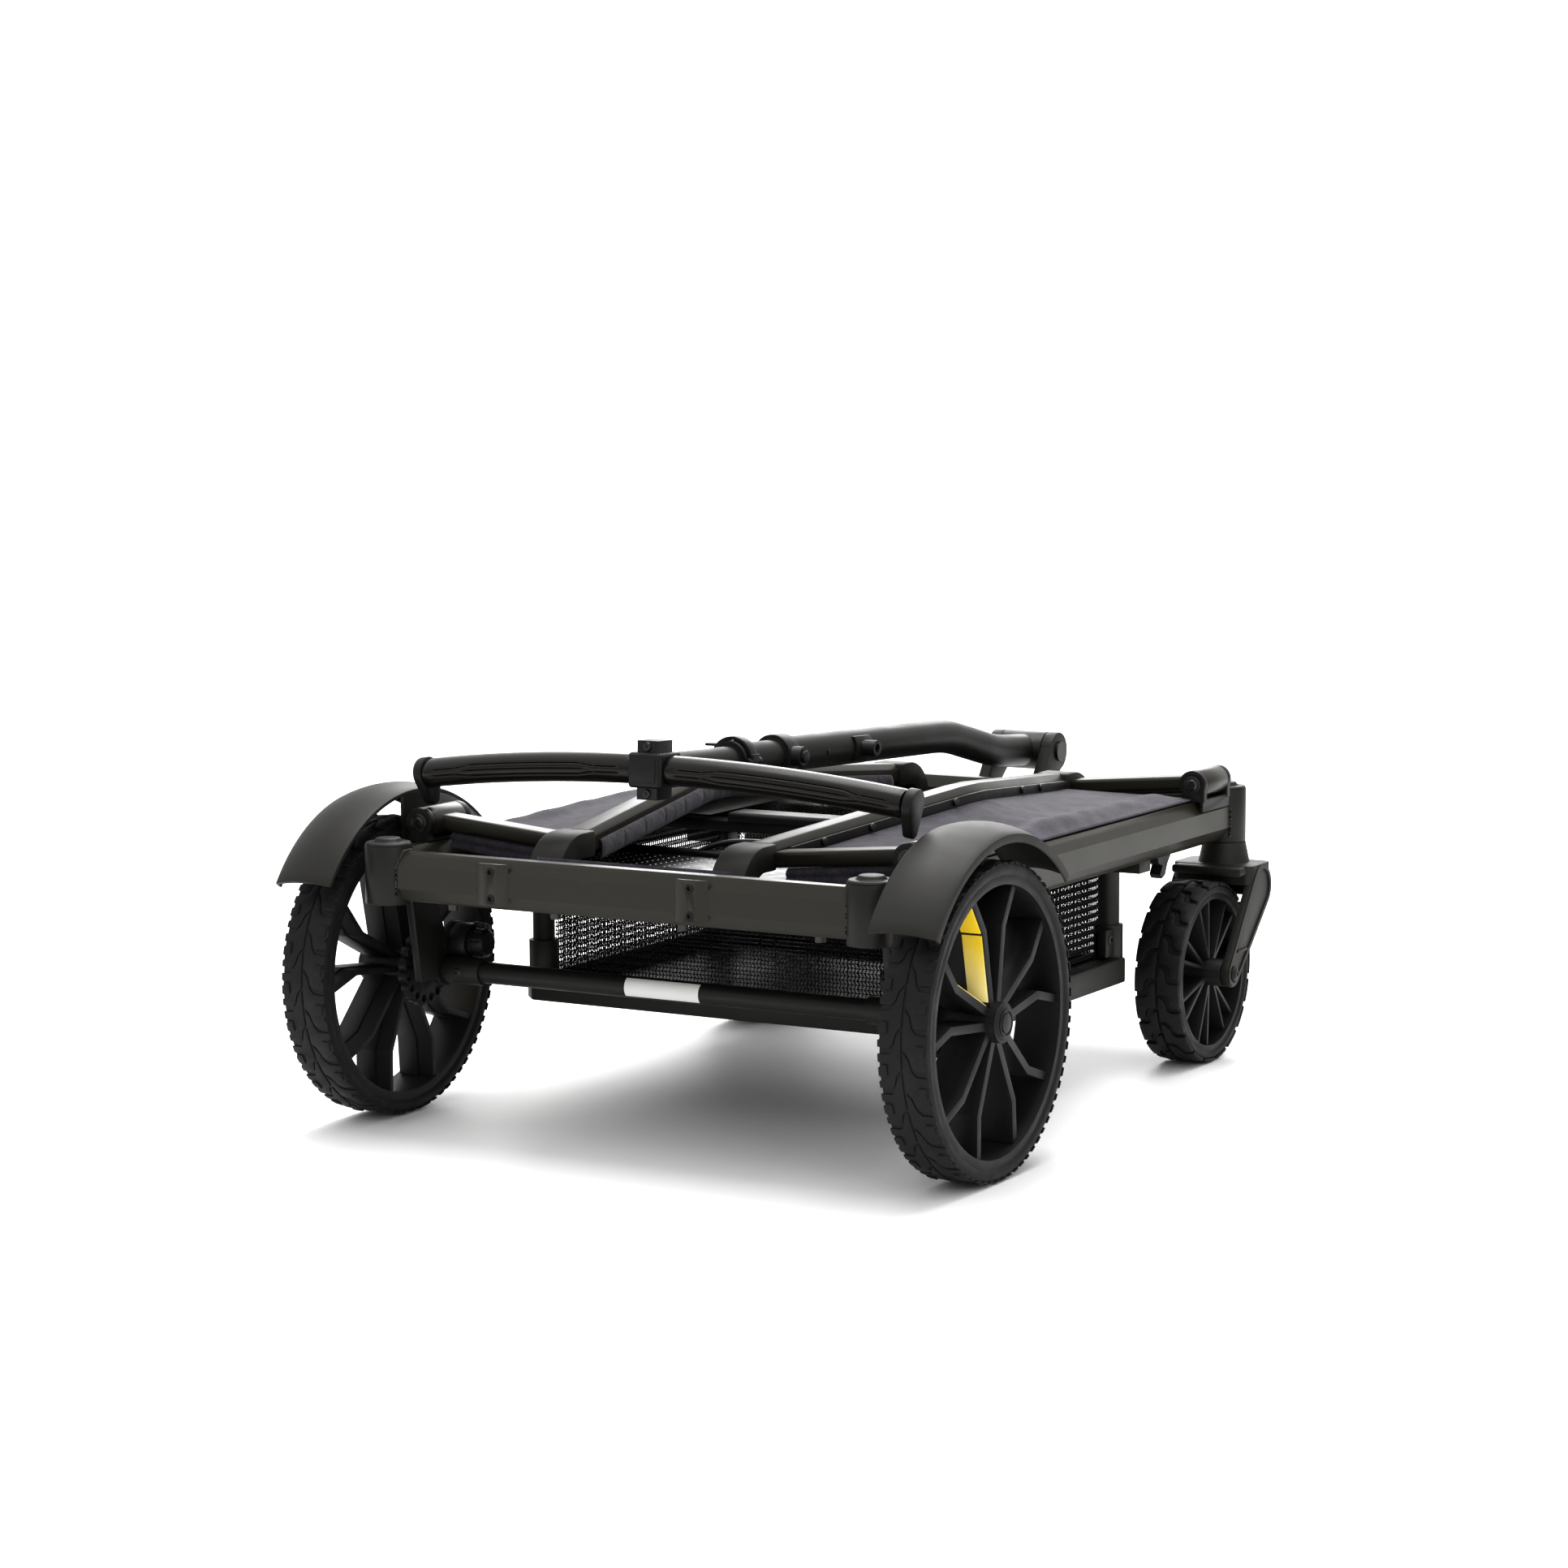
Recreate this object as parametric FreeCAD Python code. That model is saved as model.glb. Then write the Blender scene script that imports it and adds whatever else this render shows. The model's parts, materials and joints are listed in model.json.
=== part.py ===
"""A folded four-wheel pet stroller: a flat wagon frame on two large rear wheels and two front casters.

Millimetres, +Z up, origin on the ground under the middle of the whole object. +Y points to the caster end
(the front), +X to the right. Lengths along the frame are written as d, the distance forward of the rear
corner sleeves' axes, and at(d) turns them into Y. Right-hand pieces are drawn once and mirrored in X = 0.
"""
import FreeCAD
import Part
import math
import os

V = FreeCAD.Vector

# ---------------------------------------------------------------- driving dimensions
# frame
FRAME_HALF_WIDTH = 237.5        # X of the side rails and of the corner sleeves
FRAME_LENGTH = 712.0            # rear to front corner sleeve axis
RAIL_WIDTH = 25.0
RAIL_HEIGHT = 43.0
RAIL_CHAMFER_ACROSS = 7.0
RAIL_CHAMFER_UP = 11.5
RAIL_WALL = 2.0
SLEEVE_R = 20.5
SLEEVE_BORE_R = 17.5
SLEEVE_BELOW = 3.5               # sleeve's reach below the rails
SLEEVE_ABOVE = 4.5
CAP_HEIGHT = 6.0
RUN_FIT = 0.05                  # radial gap of a running fit
CLEAR = 0.4                     # gap between parts that pass each other
THROUGH = 2.0                   # how far a cutting body runs past the face that it cuts

# rear axle and wheels
AXLE_D = 79.0                   # axle forward of the rear sleeves
WHEEL_R = 133.5
RAIL_OVER_AXLE = 73.0           # rails' underside above the axle
WHEEL_OUTSET = 55.5             # centre plane of a rear wheel outside the side rail's
TYRE_WIDTH = 45.0
TYRE_HEIGHT = 12.5
RIM_LIP = 8.0
RIM_WIDTH = 41.0
HUB_R = 17.0
HUB_CAP_R = 14.7
STUB_R = 6.0
AXLE_TUBE_R = 9.5
AXLE_SLEEVE_R = 12.0
AXLE_SLEEVE_LENGTH = 47.0
PETALS = 5
PETAL_AXIS_DEG = 56.0           # first petal's axis, from +Y towards +Z, on the right wheel
PETAL_KNEE_DEG = 23.5
PETAL_KNEE_DROP = 54.5          # knee inside the tread's radius
PETAL_END_DEG = 17.0
RIB_WIDTH = 7.0
RIB_DEPTH = 20.0                # full-width part of a rib, next to the outer face
RIB_STEP = 1.2                  # the rest is narrower by this much on each side
RIB_RECESS = 4.0                # ribs set back from the rim's outer face
HUB_PROUD = 3.5                 # hub beyond the rim's outer face
RIGHT_ACCENT_PETAL = 1          # the petal with the coloured liner
LEFT_ACCENT_PETAL = 4
ACCENT_THICKNESS = 1.2
BRAKE_DISC_GAP = 39.0           # inner face of the brake disc inside the wheel's centre plane
BRAKE_DISC_THICKNESS = 8.0
BRAKE_HOLES = 16
BRAKE_HOLE_R = 3.4
BRAKE_PITCH_R = 28.0
BRAKE_LOBE_R = 6.2
BRAKE_PIN_R = 3.0
BRAKE_PIN_DEG = 55.4            # the plunger's place round the axle
BRAKE_KNOB_R = 13.0
BRAKE_TRAVEL = 8.0

# casters
CASTER_R = 86.5
CASTER_WIDTH = 45.0
CASTER_RIM_R = 76.0
CASTER_TRAIL = 71.0
CASTER_SPOKES = 7
CASTER_HUB_R = 13.0
FORK_OUT = 41.0                 # outer face of a fork arm from the wheel's centre plane
FORK_ARM = 7.0
FORK_CROWN_GAP = 20.0           # crown's top below the sleeve
FORK_CROWN_THICKNESS = 18.0
FORK_TIP_R = 13.0
FORK_TOP_R = 22.0
CASTER_BOLT_R = 4.0
STEM_DROP = 7.0                 # stem's end below the sleeve's top

# fenders
FENDER_INSET = 31.0             # mudguard's inner edge inside the wheel's centre plane
FENDER_WIDTH = 60.0
FENDER_GAP = 29.5               # crown above the tread
FENDER_EDGE_DROP = 8.0
FENDER_THICKNESS = 3.0
FENDER_FRONT_DEG = 44.0
FENDER_REAR_DEG = 146.0

# footwell under the floor
WELL_INSET = 15.5               # footwell's side inside the side rail's middle
WELL_REAR = 178.0               # footwell's end from the nearer pair of sleeves
WELL_DEPTH = 114.5              # footwell's underside below the rails
WELL_BAR_HEIGHT = 23.0
WELL_BAR_WIDTH = 18.0
WELL_CHAMFER = 13.0
LEG_R = 10.0
SOCKET_HEIGHT = 54.0
SOCKET_R = 13.5
LEG_INSET = 16.0                # leg's axis inside the footwell's side
MESH_WALL = 1.5

# floor
FLOOR_RISE = 17.5               # floor's top above the rails' underside
FLOOR_THICKNESS = 3.0
FLOOR_SIDE_GAP = 11.0
FLOOR_BOARD_END = 255.0         # a board's inner end from the nearer pair of sleeves
LIP_R = 5.0
CROSS_BAR_WIDTH = 24.0
CROSS_BAR_HEIGHT = 10.0
CROSS_BAR_DROP = 6.5            # bar's top below the rails' top
GRIP_PLATE_HALF = 99.0
GRIP_PLATE_THICKNESS = 9.0

# fold-down side walls
HINGE_OUTSET = 4.5              # hinge axis outside the side rail's middle
HINGE_RISE = 16.5               # hinge axis above the rails
BARREL_R = 13.35
HINGE_PIN_R = 4.0
BARREL_LENGTH = 47.0
LUG_THICKNESS = 7.0
POST_REAR = 83.0                # rear post from the rear sleeves
POST_FRONT = 57.0               # front post from the front sleeves
POST_WIDTH = 24.0
POST_THICKNESS = 14.0
HEM_TUBE_R = 3.0
WALL_RAIL_WIDTH = 27.0
WALL_RAIL_HEIGHT = 20.0
WALL_RAIL_REACH = 152.0         # rail's ends from the hinge axis
WALL_RAIL_BOW = 43.0            # rail's middle nearer to the hinge than its ends
WALL_RAIL_RISE = 1.5            # rail's ends above the hinge axis
WALL_RAIL_CROWN = 21.5          # rail's middle above its ends
WALL_RAIL_INSET = 76.0          # rail's ends from the sleeves
WALL_JOG_BACK = 10.0            # straight middle stretch, behind and in front of the frame's middle
WALL_JOG_AHEAD = 22.0
CHANNEL_THICKNESS = 3.0
CHANNEL_HEIGHT = 14.0
CHANNEL_DROP = 5.5              # channel's top edge below the rail's top face
CHANNEL_SCREWS = (62.0, 128.0, 248.0, 410.0, 469.0)     # from the rail's rear end
SCREW_HEAD_R = 3.6
SCREW_HEAD_HEIGHT = 2.4
SCREW_DROP = 4.3                # screw's axis below the channel's top edge
ELBOW_WIDTH = 33.0
ELBOW_R = 40.0
ELBOW_THICKNESS = 22.5
ELBOW_END = 17.0                # elbow's outer face from the sleeves' axes
PANEL_THICKNESS = 3.0
PANEL_EDGE_INSET = 15.0         # panel's outer edge inside the hinge axis
PANEL_EDGE_DROP = 12.0

# handle
HANDLE_AHEAD = 53.0             # hinge in front of the front sleeves
HANDLE_RISE = 23.5              # hinge above the rails
BARREL_WALL = 3.2
HINGE_BARREL_HALF = 23.0
CHEEK_THICKNESS = 12.0
HANDLE_PIN_R = 5.0
TUBE_R = 15.8
TUBE_WALL = 1.5
MID_WALL = 1.4
INNER_WALL = 1.4
TUBE_BEND_1 = (75.0, 6.0)       # the tube's two bends, behind and above the hinge
TUBE_BEND_2 = (180.0, 31.5)
TUBE_BEND_R = 260.0
TUBE_SLOPE = 0.0414             # rise of the straight stretch towards the rear
TUBE_END = 251.0
COLLAR_D = 262.0
COLLAR_WALL = 3.0
COLLAR_LENGTH = 20.0
MID_TUBE_INNER_END = 520.0
LEVER_COLLAR_D = 187.0
LEVER_COLLAR_LENGTH = 22.0
LEVER_SWEEP_DEG = 150.0
INNER_TUBE_INNER_END = 500.0
BUTTON_R = 5.5
BUTTON_TRAVEL = 2.5
ACCESSORY_D = 392.0
RIVET_D = 327.0

# T-bar
BLOCK_D = 54.0
BLOCK_WIDTH = 33.0
BLOCK_DEPTH = 34.0
BLOCK_HEIGHT = 30.0
LUG_WIDTH = 20.0
LUG_HEIGHT = 10.0
BAR_R = 9.0
BAR_HALF = 240.0
BAR_DROOP = 17.5                # how far the bar's ends hang below its middle
BAR_SWEEP = 10.0                # how far they stand forward of it
GRIP_STOP = 0.985               # share of the bar's half length where a grip ends
GRIP_HALF_HEIGHT = 12.8
GRIP_HALF_DEPTH = 15.0
CAP_THICKNESS = 9.0
CAP_R = 14.5
CAP_TOE_R = 7.0
CAP_TOE_DROP = 20.5             # toe's centre below the bar's end

# ---------------------------------------------------------------- places that follow from the sizes
RAIL_BOTTOM = WHEEL_R + RAIL_OVER_AXLE
RAIL_TOP = RAIL_BOTTOM + RAIL_HEIGHT
SLEEVE_BOTTOM = RAIL_BOTTOM - SLEEVE_BELOW
SLEEVE_TOP = RAIL_TOP + SLEEVE_ABOVE
CAP_TOP = SLEEVE_TOP + CAP_HEIGHT
STEM_TOP = SLEEVE_TOP - STEM_DROP
FORK_CROWN_TOP = SLEEVE_BOTTOM - FORK_CROWN_GAP
RIM_R = WHEEL_R - TYRE_HEIGHT
PETAL_KNEE_R = WHEEL_R - PETAL_KNEE_DROP
WHEEL_X = FRAME_HALF_WIDTH + WHEEL_OUTSET
BRAKE_DISC_IN = WHEEL_X - BRAKE_DISC_GAP
FENDER_IN = WHEEL_X - FENDER_INSET
FENDER_OUT = FENDER_IN + FENDER_WIDTH
FENDER_R = WHEEL_R + FENDER_GAP
AXLE_TUBE_HALF = FRAME_HALF_WIDTH - RAIL_WIDTH / 2.0
AXLE_SLEEVE_OUT = FRAME_HALF_WIDTH + 2.5
AXLE_SLEEVE_IN = AXLE_SLEEVE_OUT - AXLE_SLEEVE_LENGTH
WELL_HALF_WIDTH = FRAME_HALF_WIDTH - WELL_INSET
WELL_FRONT = FRAME_LENGTH - WELL_REAR
WELL_BOTTOM = RAIL_BOTTOM - WELL_DEPTH
SOCKET_TOP = WELL_BOTTOM + SOCKET_HEIGHT
LEG_X = WELL_HALF_WIDTH - LEG_INSET
FLOOR_TOP = RAIL_BOTTOM + FLOOR_RISE
MESH_TOP = FLOOR_TOP - FLOOR_THICKNESS
FLOOR_HALF_WIDTH = FRAME_HALF_WIDTH - RAIL_WIDTH / 2.0 - FLOOR_SIDE_GAP
FLOOR_FRONT_START = FRAME_LENGTH - FLOOR_BOARD_END
CROSS_BAR_D = FRAME_LENGTH / 2.0
CROSS_BAR_TOP = RAIL_TOP - CROSS_BAR_DROP
GRIP_PLATE_TOP = CROSS_BAR_TOP + GRIP_PLATE_THICKNESS
HINGE_X = FRAME_HALF_WIDTH + HINGE_OUTSET
HINGE_Z = RAIL_TOP + HINGE_RISE
POST_DS = (POST_REAR, FRAME_LENGTH - POST_FRONT)
WALL_RAIL_END_X = HINGE_X - WALL_RAIL_REACH
WALL_RAIL_MID_X = WALL_RAIL_END_X + WALL_RAIL_BOW
WALL_RAIL_END_TOP = HINGE_Z + WALL_RAIL_RISE
WALL_RAIL_MID_TOP = WALL_RAIL_END_TOP + WALL_RAIL_CROWN
WALL_RAIL_START = WALL_RAIL_INSET
WALL_RAIL_STOP = FRAME_LENGTH - WALL_RAIL_INSET
WALL_JOG_START = FRAME_LENGTH / 2.0 - WALL_JOG_BACK
WALL_JOG_STOP = FRAME_LENGTH / 2.0 + WALL_JOG_AHEAD
ELBOW_REAR_END = ELBOW_END
ELBOW_FRONT_END = FRAME_LENGTH - ELBOW_END
PANEL_OUTER_X = HINGE_X - PANEL_EDGE_INSET
PANEL_OUTER_Z = HINGE_Z - PANEL_EDGE_DROP
HANDLE_D = FRAME_LENGTH + HANDLE_AHEAD
HANDLE_Z = RAIL_TOP + HANDLE_RISE
HINGE_BARREL_R = TUBE_R + BARREL_WALL
STRAIGHT_D = HANDLE_D - TUBE_BEND_2[0]      # front end of the handle tube's straight stretch
STRAIGHT_Z = HANDLE_Z + TUBE_BEND_2[1]
COLLAR_R = TUBE_R + COLLAR_WALL

# where the rear sleeves sit, so that the whole object is centred on Y = 0
REAR_Y = -(AXLE_D + FENDER_R * math.cos(math.radians(FENDER_REAR_DEG)) + HANDLE_D + HINGE_BARREL_R) / 2.0


def at(d):
    """Y of the place d forward of the rear corner sleeves."""
    return REAR_Y + d


# ---------------------------------------------------------------- small helpers
def box(x0, x1, y0, y1, z0, z1):
    return Part.makeBox(x1 - x0, y1 - y0, z1 - z0, V(x0, y0, z0))


def rod(radius, start, end):
    """A solid cylinder between two points."""
    along = end - start
    return Part.makeCylinder(radius, along.Length, start, along)


def tube(outer, inner, start, end):
    """A hollow cylinder between two points."""
    return rod(outer, start, end).cut(rod(inner, start, end))


def prism(points, along):
    """A flat outline of points, pushed along a vector."""
    return Part.Face(Part.makePolygon(points + [points[0]])).extrude(along)


def mirrored(shape):
    return shape.mirror(V(0, 0, 0), V(1, 0, 0))


def pair(shape):
    """A piece and its mirror image, as separate solids."""
    return [shape, mirrored(shape)]


def fused(shapes):
    whole = shapes[0]
    if len(shapes) > 1:
        whole = shapes[0].fuse(shapes[1:])
    return whole.removeSplitter()


def turned(shape, degrees, centre, axis):
    """A copy of shape turned about an axis through centre."""
    copy = shape.copy()
    copy.rotate(centre, axis, degrees)
    return copy


def polar(centre_d, centre_z, radius, degrees):
    """Y and Z of a point round a centre, the angle counted from +Y towards +Z."""
    angle = math.radians(degrees)
    return at(centre_d) + radius * math.cos(angle), centre_z + radius * math.sin(angle)


def taper_plate(d1, z1, r1, d2, z2, r2, x0, x1):
    """A plate in the YZ plane that wraps two circles in their common tangents."""
    y1, y2 = at(d1), at(d2)
    span = math.hypot(y2 - y1, z2 - z1)
    heading = math.atan2(z2 - z1, y2 - y1)
    lean = math.acos((r1 - r2) / span)
    ends = []
    for side in (1, -1):
        angle = heading + side * lean
        near = V(x0, y1 + r1 * math.cos(angle), z1 + r1 * math.sin(angle))
        far = V(x0, y2 + r2 * math.cos(angle), z2 + r2 * math.sin(angle))
        ends.append((near, far))
    body = prism([ends[0][0], ends[0][1], ends[1][1], ends[1][0]], V(x1 - x0, 0, 0))
    caps = [rod(r, V(x0, y, z), V(x1, y, z)) for y, z, r in ((y1, z1, r1), (y2, z2, r2))]
    return fused([body] + caps)


def bent_wire(points, radius):
    """Straight runs joined by tangent arcs of one radius."""
    edges = []
    start = points[0]
    for before, corner, after in zip(points, points[1:], points[2:]):
        into = (corner - before).normalize()
        out = (after - corner).normalize()
        half_turn = into.getAngle(out) / 2.0
        setback = radius * math.tan(half_turn)
        arc_start = corner - into * setback
        arc_end = corner + out * setback
        bisector = (out - into).normalize()
        centre = corner + bisector * (radius / math.cos(half_turn))
        arc_mid = centre - bisector * radius
        edges.append(Part.makeLine(start, arc_start))
        edges.append(Part.Arc(arc_start, arc_mid, arc_end).toShape())
        start = arc_end
    edges.append(Part.makeLine(start, points[-1]))
    return Part.Wire(edges)


def swept_circle(path, radius, start, along):
    """A round bar along a path that starts at a point in a direction."""
    profile = Part.Wire(Part.makeCircle(radius, start, along))
    return path.makePipeShell([profile], True, True)


# ---------------------------------------------------------------- frame
def rail_outline(half, bottom, top, across, up):
    """The eight corners of a chamfered rail section, as (sideways, z)."""
    inner = half - across
    return [(-inner, bottom), (inner, bottom), (half, bottom + up), (half, top - up),
            (inner, top), (-inner, top), (-half, top - up), (-half, bottom + up)]


def rail(centre, length, along_x):
    """A hollow chamfered extrusion that starts at centre and runs along +X or +Y."""
    half = RAIL_WIDTH / 2.0
    outline = rail_outline(half, RAIL_BOTTOM, RAIL_TOP, RAIL_CHAMFER_ACROSS, RAIL_CHAMFER_UP)
    hollow = rail_outline(half - RAIL_WALL, RAIL_BOTTOM + RAIL_WALL, RAIL_TOP - RAIL_WALL,
                          RAIL_CHAMFER_ACROSS - RAIL_WALL / 2.0, RAIL_CHAMFER_UP)
    solids = []
    for section in (outline, hollow):
        if along_x:
            points = [V(centre.x, centre.y + side, z) for side, z in section]
            solids.append(prism(points, V(length, 0, 0)))
        else:
            points = [V(centre.x + side, centre.y, z) for side, z in section]
            solids.append(prism(points, V(0, length, 0)))
    return solids[0].cut(solids[1])


def corner_cutter(x, d):
    return rod(SLEEVE_R, V(x, at(d), RAIL_BOTTOM - THROUGH), V(x, at(d), RAIL_TOP + THROUGH))


def build_frame():
    corners = [(side * FRAME_HALF_WIDTH, d) for side in (1, -1) for d in (0.0, FRAME_LENGTH)]
    cutters = [corner_cutter(x, d) for x, d in corners]
    side_rail = rail(V(FRAME_HALF_WIDTH, at(0.0), 0), FRAME_LENGTH, False)
    for cutter in cutters:
        side_rail = side_rail.cut(cutter)
    cross_rails = []
    for d in (0.0, FRAME_LENGTH):
        bar = rail(V(-FRAME_HALF_WIDTH, at(d), 0), 2 * FRAME_HALF_WIDTH, True)
        for cutter in cutters:
            bar = bar.cut(cutter)
        cross_rails.append(bar)
    sleeves = []
    caps = []
    for x, d in corners:
        y = at(d)
        sleeves.append(tube(SLEEVE_R, SLEEVE_BORE_R, V(x, y, SLEEVE_BOTTOM), V(x, y, SLEEVE_TOP)))
        caps.append(sleeve_cap(x, y))
    return {
        "side_rails": pair(side_rail),
        "rear_cross_rail": [cross_rails[0]],
        "front_cross_rail": [cross_rails[1]],
        "corner_sleeves": sleeves,
        "corner_caps": caps,
    }


def sleeve_cap(x, y):
    """A plug with a flange and a raised round button on top."""
    flange_top = SLEEVE_TOP + 2.5
    button_r = 13.0
    plug = rod(SLEEVE_BORE_R, V(x, y, STEM_TOP + 2.0), V(x, y, SLEEVE_TOP))
    flange = Part.makeCone(SLEEVE_R, SLEEVE_R - 1.5, flange_top - SLEEVE_TOP, V(x, y, SLEEVE_TOP))
    button = Part.makeCone(button_r, button_r - 2.5, CAP_TOP - flange_top, V(x, y, flange_top))
    return fused([plug, flange, button])


def build_rail_details():
    """Two bevelled pads with screws on the rear rail, and bolt heads below it."""
    pad_ds = 4.0
    face_half = 8.0
    bevel = 8.0
    pad_bottom = RAIL_BOTTOM + 4.0
    pad_top = RAIL_TOP - 3.0
    screw_z = (RAIL_BOTTOM + RAIL_TOP) / 2.0
    screw_half_pitch = 11.5
    back = at(-RAIL_WIDTH / 2.0)
    pads = []
    fasteners = []
    for x in (-121.0, 76.0):
        outline = [V(x - face_half - bevel, back, pad_bottom), V(x + face_half + bevel, back, pad_bottom),
                   V(x + face_half, back - pad_ds, pad_bottom), V(x - face_half, back - pad_ds, pad_bottom)]
        pad = prism(outline, V(0, 0, pad_top - pad_bottom))
        for z in (screw_z - screw_half_pitch, screw_z + screw_half_pitch):
            pad = pad.cut(rod(SCREW_HEAD_R, V(x, back - pad_ds - THROUGH, z), V(x, back, z)))
            fasteners.append(rod(SCREW_HEAD_R, V(x, back - pad_ds + 1.5, z), V(x, back, z)))
        pads.append(pad)
    bolt_head_r = 4.4
    for x in (-170.0, -66.0, 60.0, 190.0):
        top = V(x, at(0.0), RAIL_BOTTOM)
        fasteners.append(rod(bolt_head_r, top - V(0, 0, 5.0), top))
    return pads, fasteners


# ---------------------------------------------------------------- side wall hinges
def hinge_spans(post_d):
    """The d limits of the near lug, the wall's barrel and the far lug of one hinge."""
    start = post_d - BARREL_LENGTH / 2.0
    stop = post_d + BARREL_LENGTH / 2.0
    return ((start - CLEAR - LUG_THICKNESS, start - CLEAR), (start, stop),
            (stop + CLEAR, stop + CLEAR + LUG_THICKNESS))


def hinge_bracket(post_d):
    """A saddle on the side rail with two round lugs and a lip over the rail's outer edge."""
    near, _, far = hinge_spans(post_d)
    saddle_top = HINGE_Z - BARREL_R - CLEAR
    saddle_half = RAIL_WIDTH / 2.0 - RAIL_CHAMFER_ACROSS + 1.0
    lip_thickness = 3.0
    lip_bottom = RAIL_TOP - 9.0
    rail_side = FRAME_HALF_WIDTH + RAIL_WIDTH / 2.0
    pieces = [box(FRAME_HALF_WIDTH - saddle_half, rail_side + CLEAR, at(near[0]), at(far[1]), RAIL_TOP, saddle_top)]
    pieces.append(box(rail_side + CLEAR - 0.1, rail_side + CLEAR + lip_thickness, at(near[0]), at(far[1]),
                      lip_bottom, saddle_top))
    for start, stop in (near, far):
        lug = rod(BARREL_R, V(HINGE_X, at(start), HINGE_Z), V(HINGE_X, at(stop), HINGE_Z))
        foot = box(HINGE_X - BARREL_R + 3.0, HINGE_X + BARREL_R - 1.0, at(start), at(stop), RAIL_TOP, HINGE_Z)
        pieces += [lug, foot]
    bore = rod(HINGE_PIN_R, V(HINGE_X, at(near[0]) - THROUGH, HINGE_Z), V(HINGE_X, at(far[1]) + THROUGH, HINGE_Z))
    recess_r = 8.0
    recess = rod(recess_r, V(HINGE_X, at(near[0]) - THROUGH, HINGE_Z), V(HINGE_X, at(near[0]) + 2.5, HINGE_Z))
    return fused(pieces).cut(bore).cut(recess)


def hinge_pin(post_d):
    near, _, far = hinge_spans(post_d)
    head_r = 6.0
    shank = rod(HINGE_PIN_R, V(HINGE_X, at(near[0]) + 2.5, HINGE_Z), V(HINGE_X, at(far[1]), HINGE_Z))
    head = rod(head_r, V(HINGE_X, at(near[0]) + 0.5, HINGE_Z), V(HINGE_X, at(near[0]) + 2.5, HINGE_Z))
    return fused([shank, head])


# ---------------------------------------------------------------- side walls
def rail_centre(d):
    """X and top Z of a wall's top rail at d: it rises and spreads towards its low middle."""
    if d <= WALL_JOG_START:
        share = (d - WALL_RAIL_START) / (WALL_JOG_START - WALL_RAIL_START)
    elif d >= WALL_JOG_STOP:
        share = (WALL_RAIL_STOP - d) / (WALL_RAIL_STOP - WALL_JOG_STOP)
    else:
        share = 1.0
    x = WALL_RAIL_END_X + share * (WALL_RAIL_MID_X - WALL_RAIL_END_X)
    z = WALL_RAIL_END_TOP + share * (WALL_RAIL_MID_TOP - WALL_RAIL_END_TOP)
    return x, z


def along_wall(section, ds):
    """A section (sideways from the rail's middle, down from its top), ruled from station to station."""
    stretches = []
    for d0, d1 in zip(ds, ds[1:]):
        wires = []
        for d in (d0, d1):
            x, z = rail_centre(d)
            points = [V(x + side, at(d), z - down) for side, down in section]
            wires.append(Part.makePolygon(points + [points[0]]))
        stretches.append(Part.makeLoft(wires, True, True))
    return fused(stretches)


def top_rail_section(inset):
    """The rail's chamfered outline, moved in all round by inset."""
    half = WALL_RAIL_WIDTH / 2.0 - inset
    edge = 5.0
    drop = 6.0
    small = 2.0
    low = WALL_RAIL_HEIGHT - inset
    return [(-half + edge, inset), (half - edge, inset), (half, drop), (half, low - small),
            (half - small, low), (-half + small, low), (-half, low - small), (-half, drop)]


def top_rail():
    ds = (WALL_RAIL_START, WALL_JOG_START, WALL_JOG_STOP, WALL_RAIL_STOP)
    return along_wall(top_rail_section(0.0), ds).cut(along_wall(top_rail_section(RAIL_WALL), ds))


def rail_channel(ds):
    """The strip that clamps the fabric to the hinge side of the rail."""
    inner = WALL_RAIL_WIDTH / 2.0
    outer = inner + CHANNEL_THICKNESS
    bottom = CHANNEL_DROP + CHANNEL_HEIGHT
    section = [(inner, CHANNEL_DROP + 1.0), (outer, CHANNEL_DROP + 1.0), (outer, bottom), (inner, bottom)]
    return along_wall(section, ds)


def elbow(end_d, seam_d, turn_down):
    """A corner piece that carries on from the rail's end and curves down; turn_down is -1 at the rear."""
    x0 = WALL_RAIL_END_X - ELBOW_WIDTH / 2.0
    top = WALL_RAIL_END_TOP
    centre = end_d - turn_down * ELBOW_R
    inner_r = ELBOW_R - ELBOW_THICKNESS
    half = math.sqrt(0.5)

    def point(d, z):
        return V(x0, at(d), z)

    def on_arc(radius, across, up):
        return point(centre + turn_down * across * radius, top - ELBOW_R + up * radius)

    edges = [
        Part.makeLine(point(seam_d, top), on_arc(ELBOW_R, 0, 1)),
        Part.Arc(on_arc(ELBOW_R, 0, 1), on_arc(ELBOW_R, half, half), on_arc(ELBOW_R, 1, 0)).toShape(),
        Part.makeLine(on_arc(ELBOW_R, 1, 0), on_arc(inner_r, 1, 0)),
        Part.Arc(on_arc(inner_r, 1, 0), on_arc(inner_r, half, half), on_arc(inner_r, 0, 1)).toShape(),
        Part.makeLine(on_arc(inner_r, 0, 1), point(seam_d, top - ELBOW_THICKNESS)),
        Part.makeLine(point(seam_d, top - ELBOW_THICKNESS), point(seam_d, top)),
    ]
    return Part.Face(Part.Wire(edges)).extrude(V(ELBOW_WIDTH, 0, 0))


def post_inner_x():
    return WALL_RAIL_END_X + ELBOW_WIDTH / 2.0


def post_drop():
    """How far a post's axis falls from the hinge to the rail."""
    rail_middle = WALL_RAIL_END_TOP - ELBOW_THICKNESS / 2.0
    return HINGE_Z - rail_middle + 2.0


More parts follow.
